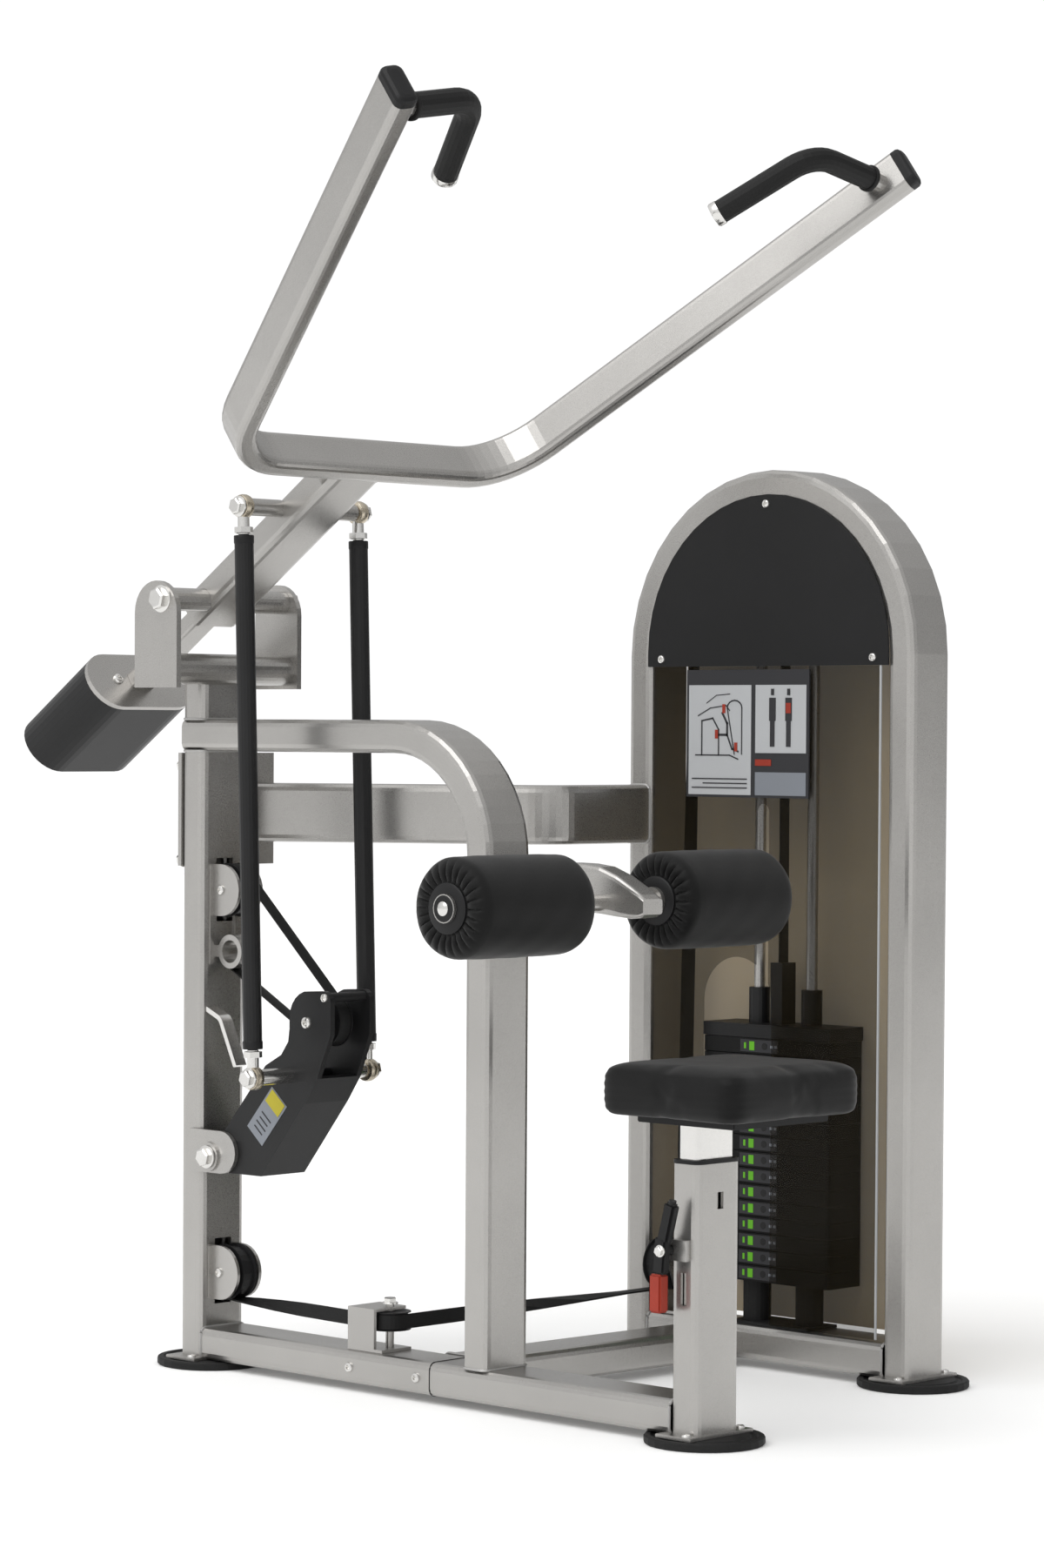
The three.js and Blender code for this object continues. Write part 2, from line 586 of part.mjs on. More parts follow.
function addShrouds() {
  const left = -458;
  const right = -955;
  const bottom = 78;
  const split = 1199.7;
  const slotL = -575;
  const slotR = -728;
  const slotC = (slotL + slotR) / 2;
  const slotRadius = (slotL - slotR) / 2;
  const springZ = 627;
  const openZ = 500;
  const trackHalf = 14;
  const trackEndZ = 952;
  const bearing = (y) => Math.acos((y - slotC) / slotRadius) * 180 / Math.PI;
  const front = [
    [right, bottom], [slotR, bottom],
    ...arc(slotC, springZ, slotRadius, 180, bearing(PIN_Y - trackHalf), 4),
    ...arc(PIN_Y, trackEndZ, trackHalf, 180, 0, 10),
    ...arc(slotC, springZ, slotRadius, bearing(PIN_Y + trackHalf), 0, 12),
    [slotL, openZ], [left, openZ], [left, split], [right, split],
  ];
  const x1 = TOWER_FACE_X - GAP;
  add("front_shroud", "smoked_plastic", plateX(front, x1 - SHROUD_T, x1));
  const coverR = 265.5;
  const coverZ = 1225.5;
  const cover = [[TOWER_Y - coverR, 1200], [TOWER_Y + coverR, 1200], ...arc(TOWER_Y, coverZ, coverR, 0, 180, 24)];
  add("top_cover", "black_plastic", plateX(cover, x1 - SHROUD_T, x1));
  const rear = [[TOWER_Y - coverR, bottom], [TOWER_Y + coverR, bottom], ...arc(TOWER_Y, coverZ, coverR, 0, 180, 24)];
  const x2 = TOWER_BACK_X + GAP;
  add("rear_shroud", "smoked_plastic", plateX(rear, x2, x2 + SHROUD_T));
  const label = [[-808, 976], [-536, 976], [-536, 1194], [-808, 1194]];
  const x3 = x1 - SHROUD_T - GAP;
  add("placard", "placard", plateX(label, x3 - 3, x3));
}

// ---------- moving arm ----------

const ALONG = v3(0, -Math.cos(BEAM_ANGLE), Math.sin(BEAM_ANGLE));
const ABOVE = v3(0, Math.sin(BEAM_ANGLE), Math.cos(BEAM_ANGLE));
const PIVOT = v3(0, PIVOT_Y, PIVOT_Z);

const onArm = (x, s, n) => v3(x, 0, 0).add(PIVOT).addScaledVector(ALONG, s).addScaledVector(ABOVE, n);

function addBeam() {
  const x = v3(1, 0, 0);
  const beamEnd = 389;
  const neckS = -38;
  const plateS = -255;
  const beam = bar(tubeOutline(TUBE_T, TUBE_W), onArm(0, -45, BEAM_OFFSET), onArm(0, beamEnd, BEAM_OFFSET), x);
  const neck = bar(roundedRect(30, 50, 5, 2), onArm(0, plateS, BEAM_OFFSET + 3), onArm(0, neckS, BEAM_OFFSET + 3), x);
  const gusset = (side) => {
    const outline = [[side * 49, beamEnd - 48], [side * 49, beamEnd], [side * 88, beamEnd]];
    const ring = (n) => ({ p: onArm(0, 0, n), u: x, v: ALONG });
    return sweep(outline, [ring(BEAM_OFFSET - 14), ring(BEAM_OFFSET + 14)]);
  };
  const pin = rod(v3(-PIN_HALF, ...UPPER_PIN), v3(PIN_HALF, ...UPPER_PIN), PIN_R);
  const bore = rod(v3(-TUBE_W, PIVOT_Y, PIVOT_Z), v3(TUBE_W, PIVOT_Y, PIVOT_Z), 19.8, 24);
  add("arm_beam", "frame_silver", cut(join(beam, neck, gusset(1), gusset(-1), pin), bore));
  const racetrack = roundedRect(110, 230, 54.5, 8);
  const offset = BEAM_OFFSET + 4;
  add("counterweight_plate", "frame_silver", bar(racetrack, onArm(0, plateS - 9, offset), onArm(0, plateS - GAP, offset), x));
  add("counterweight", "black_steel", bar(racetrack, onArm(0, plateS - 204, offset), onArm(0, plateS - 9 - GAP, offset), x));
}

const HANDLE_S = v3(0, -Math.cos(HANDLE_ANGLE), Math.sin(HANDLE_ANGLE));
const HANDLE_N = v3(0, Math.sin(HANDLE_ANGLE), Math.cos(HANDLE_ANGLE));
const inHandle = (x, s, n = 0) => v3(x, CROSSBAR_Y, CROSSBAR_Z).addScaledVector(HANDLE_S, s).addScaledVector(HANDLE_N, n);

const CORNER_X = 316;
const TIP_X = 586;
const TIP_S = 814;
const CAP_BACK = 8;

// Centreline of one handgrip: out of the arm, round a bend and back towards the user
function gripFrames(side) {
  const points = [inHandle(side * 566, 774, -2), inHandle(side * 393, 789, 27), inHandle(side * 312, 620, 33)];
  const a = points[1].clone().sub(points[0]);
  const b = points[2].clone().sub(points[1]);
  return filletFrames(points, 62, v3().crossVectors(a, b).normalize(), 7);
}

function addHandles() {
  const tip = (side) => inHandle(side * TIP_X, TIP_S);
  const corner = (side) => inHandle(side * CORNER_X, 0);
  const arm = tip(1).sub(corner(1)).normalize();
  const end = (side) => {
    const back = v3(side * arm.x, arm.y, arm.z).multiplyScalar(-CAP_BACK);
    return tip(side).add(back);
  };
  const frames = filletFrames([end(-1), corner(-1), corner(1), end(1)], 140, HANDLE_N, 10);
  const body = sweep(roundedRect(HANDLE_WIDE, HANDLE_DEEP, HANDLE_R), frames);
  const core = 15.5;
  const cores = [-1, 1].map((side) => sweep(circle(core, 12), gripFrames(side)));
  add("handle_tube", "frame_silver", join(body, ...cores));
  [[-1, "left"], [1, "right"]].forEach(([side, word]) => {
    const t = v3(side * arm.x, arm.y, arm.z);
    const u = v3().crossVectors(HANDLE_N, t);
    const ring = (d, k) => ({
      p: tip(side).addScaledVector(t, d),
      u: u.clone().multiplyScalar(k),
      v: HANDLE_N.clone().multiplyScalar(1 - (1 - k) / 2),
    });
    const dome = [ring(-CAP_BACK + GAP, 1), ring(2, 1), ring(6, 0.9), ring(9, 0.66), ring(10, 0.35)];
    add(`end_cap_${word}`, "black_plastic", sweep(roundedRect(HANDLE_WIDE, HANDLE_DEEP, HANDLE_R), dome));
    const path = gripFrames(side);
    const lead = path[1].p.clone().sub(path[0].p).normalize();
    path[0].p.addScaledVector(lead, 40);
    add(`handle_grip_${word}`, "rubber", sweep(circle(19.5, 16), path, circle(core + GAP, 12)));
  });
}

// ---------- linkage ----------

function addPushrods() {
  const upper = (x) => v3(x, ...UPPER_PIN);
  const lower = (x) => v3(x, ...LOWER_PIN);
  const t = upper(0).sub(lower(0)).normalize();
  [[-1, "left"], [1, "right"]].forEach(([side, word]) => {
    const x = side * PUSHROD_X;
    const body = rod(lower(x).addScaledVector(t, 48), upper(x).addScaledVector(t, -48), PUSHROD_R, 18);
    const necks = [[lower(x), t], [upper(x), t.clone().negate()]].map(([p, d]) => (
      rod(p.clone().addScaledVector(d, 12), p.clone().addScaledVector(d, 50), 9, 12)));
    const eye = (p) => rod(p.clone().add(v3(-8, 0, 0)), p.clone().add(v3(8, 0, 0)), 18, 18);
    const bore = (p, r) => rod(p.clone().add(v3(-12, 0, 0)), p.clone().add(v3(12, 0, 0)), r, 18);
    const solid = join(body, ...necks, eye(lower(x)), eye(upper(x)));
    add(`pushrod_${word}`, "black_steel", cut(solid, bore(lower(x), PIN_R + 1.5), bore(upper(x), PIN_R + 0.6)));
  });
}

function addLever() {
  const [py, pz] = LEVER_PIVOT;
  const inner = 40.5;
  const outer = 50.5;
  const outline = [
    ...arc(py, pz, 26, 60, -100, 12), [-175, 338], [-280, 467], [-310, 510], [-341, 584],
    ...arc(-323, 638, 18, 180, 90, 4), ...arc(-290, 608, 47, 75, 0, 5), [-243, 590], [-240, 568],
    [-223, 545], [-185, 525], [-84, 408],
  ];
  const web = plateX([[-150, 338.6], [-175, 338], [-280, 467], [-310, 510], [-302, 514], [-273, 471], [-171, 347], [-150, 347]],
    -inner - 1, inner + 1);
  const across = (y, z, r, half) => rod(v3(-half, y, z), v3(half, y, z), r);
  const solid = join(plateX(outline, inner, outer), plateX(outline, -outer, -inner), web,
    across(...LOWER_PIN, PIN_R, PIN_HALF), across(LEVER_PULLEY[0], LEVER_PULLEY[1], AXLE_R, inner + 1),
    across(-327, 645, PIN_R, inner + 1));
  const bore = rod(v3(-TUBE_W, py, pz), v3(TUBE_W, py, pz), 10.4, 20);
  add("lever_arm", "black_steel", cut(solid, bore));
}

// ---------- pulleys and belts ----------

function pulley(centre, axis, radius) {
  const groove = radius - GROOVE_DEPTH;
  const lip = GROOVE_HALF_W - 0.6;
  return turned([
    [BORE_R, -PULLEY_HALF_W], [radius, -PULLEY_HALF_W], [radius, -GROOVE_HALF_W - 0.6], [groove, -lip],
    [groove, lip], [radius, GROOVE_HALF_W + 0.6], [radius, PULLEY_HALF_W], [BORE_R, PULLEY_HALF_W],
  ], centre, axis, 24);
}

function addPulleys() {
  const x = v3(1, 0, 0);
  const onColumn = ([y, z, r]) => pulley(v3(0, y, z), x, r);
  add("pulley_column_upper", "black_plastic", onColumn(COLUMN_PULLEY_UP));
  add("pulley_column_lower", "black_plastic", onColumn(COLUMN_PULLEY_LOW));
  add("pulley_lever", "black_plastic", onColumn(LEVER_PULLEY));
  add("pulley_swivel", "black_plastic", pulley(v3(SWIVEL[0], SWIVEL[1], SWIVEL[2]), v3(0, 0, 1), SWIVEL[3]));
  add("pulley_tower_low", "black_plastic", pulley(v3(...TOWER_LOW.slice(0, 3)), v3(0, 1, 0), TOWER_LOW[3]));
  add("pulley_top_far", "black_plastic", pulley(v3(TOWER_X, TOP_PULLEY_Y[0], TOP_PULLEY_Z), x, TOP_PULLEY_R));
  add("pulley_top_near", "black_plastic", pulley(v3(TOWER_X, TOP_PULLEY_Y[1], TOP_PULLEY_Z), x, TOP_PULLEY_R));
}

const beltRadius = (r) => r - GROOVE_DEPTH + BELT_LIFT + BELT_T / 2;
const beltOutline = [[-BELT_T / 2, -BELT_W / 2], [BELT_T / 2, -BELT_W / 2], [BELT_T / 2, BELT_W / 2], [-BELT_T / 2, BELT_W / 2]];

// Belt frame: p on the centreline, t the travel, w the width direction
const beltFrame = (p, t, w) => ({ p, u: v3().crossVectors(w, t).normalize(), v: w.clone().normalize() });

// Frames round part of a pulley; `from` and `to` are angles in the plane of a and b
function wrap(centre, a, b, radius, from, to, steps, w) {
  const turn = Math.sign(to - from);
  return arc(0, 0, 1, from, to, steps).map(([c, s]) => {
    const p = centre.clone().addScaledVector(a, radius * c).addScaledVector(b, radius * s);
    const t = a.clone().multiplyScalar(-s * turn).addScaledVector(b, c * turn);
    return beltFrame(p, t, w);
  });
}

// Angle of the common tangent of two pulleys in one plane, same side, in degrees
function tangentAngle([ay, az, ar], [by, bz, br], side) {
  const dy = by - ay;
  const dz = bz - az;
  const base = Math.atan2(dz, dy);
  return THREE.MathUtils.radToDeg(base + side * Math.acos((ar - br) / Math.hypot(dy, dz)));
}

function addLeverBelt() {
  const y = v3(0, 1, 0);
  const z = v3(0, 0, 1);
  const w = v3(1, 0, 0);
  const up = [COLUMN_PULLEY_UP[0], COLUMN_PULLEY_UP[1], beltRadius(COLUMN_PULLEY_UP[2])];
  const lever = [LEVER_PULLEY[0], LEVER_PULLEY[1], beltRadius(LEVER_PULLEY[2])];
  const anchor = [ANCHOR[0], ANCHOR[1], ANCHOR_R + 2];
  const onUp = tangentAngle(up, lever, -1);
  const onLever = tangentAngle(lever, anchor, -1);
  const toAnchor = tangentAngle(lever, anchor, -1);
  const leverEnd = toAnchor + 360;
  const start = wrap(v3(0, up[0], up[1]), y, z, up[2], 2, onUp + 360, 8, w);
  const round = wrap(v3(0, lever[0], lever[1]), y, z, lever[2], onUp + 360, leverEnd, 12, w);
  const hold = wrap(v3(0, anchor[0], anchor[1]), y, z, anchor[2], onLever + 360, onLever + 396, 4, w);
  add("lever_belt", "belt", sweep(beltOutline, [...start, ...round, ...hold]));
}

// The belt turns a quarter between two pulleys and runs flat again just before the second one
function twistAngle(share) {
  return Math.min(1, share / 0.8) * Math.PI / 2;
}

function addMainBelt() {
  const x = v3(1, 0, 0);
  const y = v3(0, 1, 0);
  const z = v3(0, 0, 1);
  const [uy, uz, ur] = COLUMN_PULLEY_UP;
  const [ly, lz, lr] = COLUMN_PULLEY_LOW;
  const [sx, sy, sz, sr] = SWIVEL;
  const [tx, ty, tz, tr] = TOWER_LOW;
  const frames = [beltFrame(v3(0, uy + beltRadius(ur), uz), z.clone().negate(), x)];
  frames.push(...wrap(v3(0, ly, lz), y, z, beltRadius(lr), 0, -90, 8, x));
  const swivelR = beltRadius(sr);
  const swivelStart = v3(sx - swivelR, sy, sz);
  const columnEnd = frames[frames.length - 1].p.clone();
  const twist = 6;
  for (let i = 1; i < twist; i += 1) {
    const k = i / twist;
    const p = columnEnd.clone().lerp(swivelStart, k);
    const angle = twistAngle(k);
    const w = x.clone().multiplyScalar(Math.cos(angle)).addScaledVector(z, Math.sin(angle));
    frames.push(beltFrame(p, v3(0, -1, 0), w));
  }
  frames.push(...wrap(v3(sx, sy, sz), x, y, swivelR, 180, 274, 8, z));
  const out = frames[frames.length - 1].p.clone();
  const lowR = beltRadius(tr);
  const lowStart = v3(tx, ty, tz - lowR);
  for (let i = 1; i < twist; i += 1) {
    const k = i / twist;
    const angle = twistAngle(k);
    const w = z.clone().multiplyScalar(Math.cos(angle)).addScaledVector(y, Math.sin(angle));
    frames.push(beltFrame(out.clone().lerp(lowStart, k), x, w));
  }
  frames.push(...wrap(v3(tx, ty, tz), x, z, lowR, -90, 0, 8, y));
  const rise = frames[frames.length - 1].p.clone();
  const topR = beltRadius(TOP_PULLEY_R);
  const topStart = v3(TOWER_X, TOP_PULLEY_Y[0] + topR, TOP_PULLEY_Z);
  for (let i = 1; i < twist; i += 1) {
    const k = i / twist;
    const angle = twistAngle(k);
    const w = y.clone().multiplyScalar(Math.cos(angle)).addScaledVector(x, -Math.sin(angle));
    frames.push(beltFrame(rise.clone().lerp(topStart, k), z, w));
  }
  const across = x.clone().negate();
  frames.push(...wrap(v3(TOWER_X, TOP_PULLEY_Y[0], TOP_PULLEY_Z), y, z, topR, 0, 90, 8, across));
  frames.push(...wrap(v3(TOWER_X, TOP_PULLEY_Y[1], TOP_PULLEY_Z), y, z, topR, 90, 178, 8, across));
  add("main_belt", "belt", sweep(beltOutline, frames));
}

function addStackBelt() {
  const y = TOP_PULLEY_Y[1] - beltRadius(TOP_PULLEY_R);
  const top = TOP_PULLEY_Z - 1;
  const frame = (z) => beltFrame(v3(TOWER_X, y, z), v3(0, 0, -1), v3(1, 0, 0));
  add("stack_belt", "belt", sweep(beltOutline, [frame(top), frame(694 + GAP)]));
}

// ---------- pads and seat ----------

function addThighPads() {
  const y = -915;
  const z = 821;
  const width = 45;
  const outline = roundedRect(1, 1, 0.14, 3);
  const stations = [
    [ARCH_POST_Y - TUBE_T / 2 - GAP, 838, 66], [-740, 842, 68], [-790, 844, 71], [-840, 844, 74],
    [-875, 843, 75], [-910, 840, 73], [-945, 832, 64], [-975, 823, 50], [-995, 818, 36], [-1004, 817, 24],
  ];
  const arm = sweep(outline, stations.map(([py, pz, tall]) => ({ p: v3(0, py, pz), u: v3(0, 0, tall), v: v3(width, 0, 0) })));
  const axleR = 12.7;
  const padIn = 105;
  const padOut = 365;
  const axle = rod(v3(-padOut - 6, y, z), v3(padOut + 6, y, z), axleR, 20);
  const collar = (x0, x1, r) => rod(v3(x0, y, z), v3(x1, y, z), r, 20);
  const ends = [collar(padOut + GAP, padOut + 6, 22), collar(-padOut - 6, -padOut - GAP, 22)];
  const inners = [collar(padIn - 8, padIn - GAP, 22), collar(-padIn + GAP, -padIn + 8, 22)];
  add("thigh_arm", "frame_silver", join(arm, axle, ...ends, ...inners));
  const padR = 78.5;
  const edge = 22;
  const long = padOut - padIn;
  const round = arc(0, 0, edge, 0, 90, 4);
  const profile = [
    [axleR + GAP, 0], ...round.slice().reverse().map(([r, h]) => [padR - edge + r, edge - h]),
    ...round.map(([r, h]) => [padR - edge + r, long - edge + h]), [axleR + GAP, long],
  ];
  add("roller_pad_right", "vinyl", turned(profile, v3(padIn, y, z), v3(1, 0, 0), 30));
  add("roller_pad_left", "vinyl", turned(profile, v3(-padOut, y, z), v3(1, 0, 0), 30));
}

function addSeat() {
  const tubeTop = 500;
  const inner = roundedRect(38, 88, 8);
  const hollow = roundedRect(32, 82, 5);
  const post = bar(inner, v3(0, SEAT_POST_Y, 200), v3(0, SEAT_POST_Y, tubeTop), v3(1, 0, 0), hollow);
  const cushionY = -1165;
  const plate = box(-110, 110, cushionY - 100, cushionY + 90, tubeTop - 2, 508 - GAP);
  add("seat_inner_tube", "bright_steel", join(post, plate));
  const rows = [[508, 0.95], [513, 0.99], [521, 1], [566, 1], [576, 0.98], [582, 0.93], [584, 0.86]];
  const outline = roundedRect(325, 285, 34, 6);
  const ring = ([z, k]) => ({ p: v3(0, cushionY, z), u: v3(k, 0, 0), v: v3(0, k, 0) });
  add("seat_cushion", "vinyl", sweep(outline, rows.map(ring)));
  const leverX = -78;
  const corners = [v3(leverX, -1118, 378), v3(leverX, -1097, 297), v3(leverX, -1090, 221)];
  const stick = sweep(circle(6, 12), filletFrames(corners, 30, v3(1, 0, 0), 4));
  const hub = rod(v3(-TUBE_W / 2 - 12 - GAP, -1100, 300), v3(leverX, -1100, 300), 8);
  add("seat_lever", "black_steel", join(stick, hub));
}

// ---------- assembly ----------

addBase();
addColumn();
addArchTube();
addLinkTube();
addSeatPost();
addTowerFrame();
addClevis();
addColumnBrackets();
addLeverBracket();
addLeverStop();
addSwivelBracket();
addTowerLowBracket();
addTopBracket();
addRodsAndBase();
addStack();
addShrouds();
addBeam();
addHandles();
addPushrods();
addLever();
addPulleys();
addLeverBelt();
addMainBelt();
addStackBelt();
addThighPads();
addSeat();

// The origin sits at the bottom centre of the whole machine
const bounds = new THREE.Box3().setFromObject(machine);
const middle = bounds.getCenter(v3());
for (const mesh of machine.children) {
  mesh.geometry.translate(-middle.x, -middle.y, -bounds.min.z);
}

export default machine;
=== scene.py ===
"""Lat pulldown machine: materials, soft goods, belts, fasteners, labels, lights and camera."""
import math

import bmesh
import bpy
from mathutils import Matrix, Vector
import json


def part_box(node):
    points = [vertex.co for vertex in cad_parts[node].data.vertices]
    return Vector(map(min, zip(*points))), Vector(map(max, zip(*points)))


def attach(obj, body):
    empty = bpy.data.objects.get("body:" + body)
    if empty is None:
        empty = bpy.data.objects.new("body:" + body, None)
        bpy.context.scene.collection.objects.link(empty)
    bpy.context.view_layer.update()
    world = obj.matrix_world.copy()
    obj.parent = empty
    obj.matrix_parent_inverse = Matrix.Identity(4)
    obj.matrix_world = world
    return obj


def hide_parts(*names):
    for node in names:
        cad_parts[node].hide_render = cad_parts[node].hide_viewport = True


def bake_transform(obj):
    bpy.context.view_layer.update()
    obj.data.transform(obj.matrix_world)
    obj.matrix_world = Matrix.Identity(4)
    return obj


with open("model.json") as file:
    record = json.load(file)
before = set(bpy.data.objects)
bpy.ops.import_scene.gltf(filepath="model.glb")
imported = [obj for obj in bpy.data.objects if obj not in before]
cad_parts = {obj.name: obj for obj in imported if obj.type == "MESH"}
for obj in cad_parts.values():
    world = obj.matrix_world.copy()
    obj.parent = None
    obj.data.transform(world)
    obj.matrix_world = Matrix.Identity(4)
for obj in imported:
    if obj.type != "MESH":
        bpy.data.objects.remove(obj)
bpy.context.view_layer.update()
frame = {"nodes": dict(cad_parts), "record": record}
SCENE = bpy.context.scene
NODES = frame["nodes"]

# The machine is laid out from the column's axis on the floor
_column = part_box("column")
ORIGIN = Vector(((_column[0].x + _column[1].x) / 2, (_column[0].y + _column[1].y) / 2, 0))

TUBE_HALF_W = 0.0508
TUBE_HALF_T = 0.027
TOWER_X = 0.6705
RAIL_MIDDLE_Z = 0.0407
SHARP_ANGLE = 34


def at(x, y, z):
    return ORIGIN + Vector((x, y, z))


# ---------- camera ----------

CAMERA_AT = (-4.8085, -5.2693, 1.0881)
CAMERA_YAW = math.radians(45.946)
CAMERA_PITCH = math.radians(-1.5125)
CAMERA_ROLL = math.radians(0.33)
CAMERA_LENS = 95.54
CAMERA_SHIFT = (0.0312, 0.0358)


def make_camera():
    """Long lens, slightly rolled, looking across the machine from the seat side."""
    data = bpy.data.cameras.new("camera")
    data.lens = CAMERA_LENS
    data.sensor_width = 36
    data.shift_x, data.shift_y = CAMERA_SHIFT
    data.clip_end = 200
    camera = bpy.data.objects.new("camera", data)
    SCENE.collection.objects.link(camera)
    flat = math.cos(CAMERA_PITCH)
    forward = Vector((math.sin(CAMERA_YAW) * flat, math.cos(CAMERA_YAW) * flat, math.sin(CAMERA_PITCH)))
    level = Vector((math.cos(CAMERA_YAW), -math.sin(CAMERA_YAW), 0))
    upright = level.cross(forward)
    right = level * math.cos(CAMERA_ROLL) + upright * math.sin(CAMERA_ROLL)
    up = upright * math.cos(CAMERA_ROLL) - level * math.sin(CAMERA_ROLL)
    turn = Matrix((right, up, -forward)).transposed().to_4x4()
    camera.matrix_world = Matrix.Translation(at(*CAMERA_AT)) @ turn
    SCENE.camera = camera


# ---------- materials ----------

def new_material(name):
    material = bpy.data.materials.new(name)
    material.use_nodes = True
    return material, material.node_tree.nodes, material.node_tree.links


def noise(nodes, links, coord, scale, detail=4.0, rough=0.55):
    texture = nodes.new("ShaderNodeTexNoise")
    texture.inputs["Scale"].default_value = scale
    texture.inputs["Detail"].default_value = detail
    texture.inputs["Roughness"].default_value = rough
    links.new(coord, texture.inputs["Vector"])
    return texture.outputs["Fac"]


def ramp(nodes, links, value, stops):
    node = nodes.new("ShaderNodeValToRGB")
    node.color_ramp.elements[0].position = stops[0][0]
    node.color_ramp.elements[0].color = (*stops[0][1], 1)
    node.color_ramp.elements[1].position = stops[-1][0]
    node.color_ramp.elements[1].color = (*stops[-1][1], 1)
    for position, color in stops[1:-1]:
        node.color_ramp.elements.new(position).color = (*color, 1)
    links.new(value, node.inputs["Fac"])
    return node.outputs["Color"]


def spread(nodes, links, value, low, high):
    node = nodes.new("ShaderNodeMapRange")
    node.inputs["To Min"].default_value = low
    node.inputs["To Max"].default_value = high
    node.inputs["From Min"].default_value = 0.3
    node.inputs["From Max"].default_value = 0.7
    links.new(value, node.inputs["Value"])
    return node.outputs["Result"]


def bump(nodes, links, height, strength, distance, normal=None):
    node = nodes.new("ShaderNodeBump")
    node.inputs["Strength"].default_value = strength
    node.inputs["Distance"].default_value = distance
    links.new(height, node.inputs["Height"])
    if normal is not None:
        links.new(normal, node.inputs["Normal"])
    return node.outputs["Normal"]


def scaled(color, k):
    return tuple(min(1.0, c * k) for c in color)


def coated(name, color, metallic, rough, grain, depth, swing=0.08, coat=0.0):
    """Painted, plated or moulded surface: slow colour drift, fine grain in roughness and height.

    Grain is a noise scale per metre, and depth is the bump distance in metres.
    """
    material, nodes, links = new_material(name)
    shader = nodes["Principled BSDF"]
    coord = nodes.new("ShaderNodeTexCoord").outputs["Object"]
    drift = noise(nodes, links, coord, 5.0, 5.0)
    fine = noise(nodes, links, coord, grain, 3.0)
    tone = ramp(nodes, links, drift, [(0.3, scaled(color, 1 - swing)), (0.7, scaled(color, 1 + swing))])
    links.new(tone, shader.inputs["Base Color"])
    links.new(spread(nodes, links, fine, rough - 0.06, rough + 0.06), shader.inputs["Roughness"])
    links.new(bump(nodes, links, fine, 0.35, depth), shader.inputs["Normal"])
    shader.inputs["Metallic"].default_value = metallic
    if metallic < 0.5:
        shader.inputs["Specular IOR Level"].default_value = 0.25
    shader.inputs["Coat Weight"].default_value = coat
    shader.inputs["Coat Roughness"].default_value = 0.25
    return material


def grained_vinyl(name, color):
    """Upholstery vinyl: leather cells, fine pores and a slow unevenness."""
    material, nodes, links = new_material(name)
    shader = nodes["Principled BSDF"]
    coord = nodes.new("ShaderNodeTexCoord").outputs["Object"]
    cells = nodes.new("ShaderNodeTexVoronoi")
    cells.feature = "DISTANCE_TO_EDGE"
    cells.inputs["Scale"].default_value = 420.0
    links.new(coord, cells.inputs["Vector"])
    pores = noise(nodes, links, coord, 900.0, 4.0)
    drift = noise(nodes, links, coord, 9.0, 5.0)
    tone = ramp(nodes, links, drift, [(0.3, scaled(color, 0.8)), (0.7, scaled(color, 1.3))])
    links.new(tone, shader.inputs["Base Color"])
    links.new(spread(nodes, links, drift, 0.40, 0.56), shader.inputs["Roughness"])
    shader.inputs["Specular IOR Level"].default_value = 0.09
    first = bump(nodes, links, pores, 0.25, 0.0002)
    links.new(bump(nodes, links, cells.outputs["Distance"], 0.45, 0.0006, first), shader.inputs["Normal"])
    shader.inputs["Sheen Weight"].default_value = 0.12
    return material


def smoked(name, color, clear):
    """Tinted sheet: part clear, part gloss."""
    material, nodes, links = new_material(name)
    shader = nodes["Principled BSDF"]
    coord = nodes.new("ShaderNodeTexCoord").outputs["Object"]
    drift = noise(nodes, links, coord, 4.0, 3.0)
    tone = ramp(nodes, links, drift, [(0.3, scaled(color, 0.94)), (0.7, scaled(color, 1.06))])
    links.new(tone, shader.inputs["Base Color"])
    links.new(spread(nodes, links, drift, 0.12, 0.2), shader.inputs["Roughness"])
    shader.inputs["Specular IOR Level"].default_value = 0.1
    shader.inputs["Alpha"].default_value = 1 - clear
    return material


def printed(name, color, rough=0.4):
    return coated(name, color, 0.0, rough, 260.0, 0.00005, 0.03)


MAT = {}


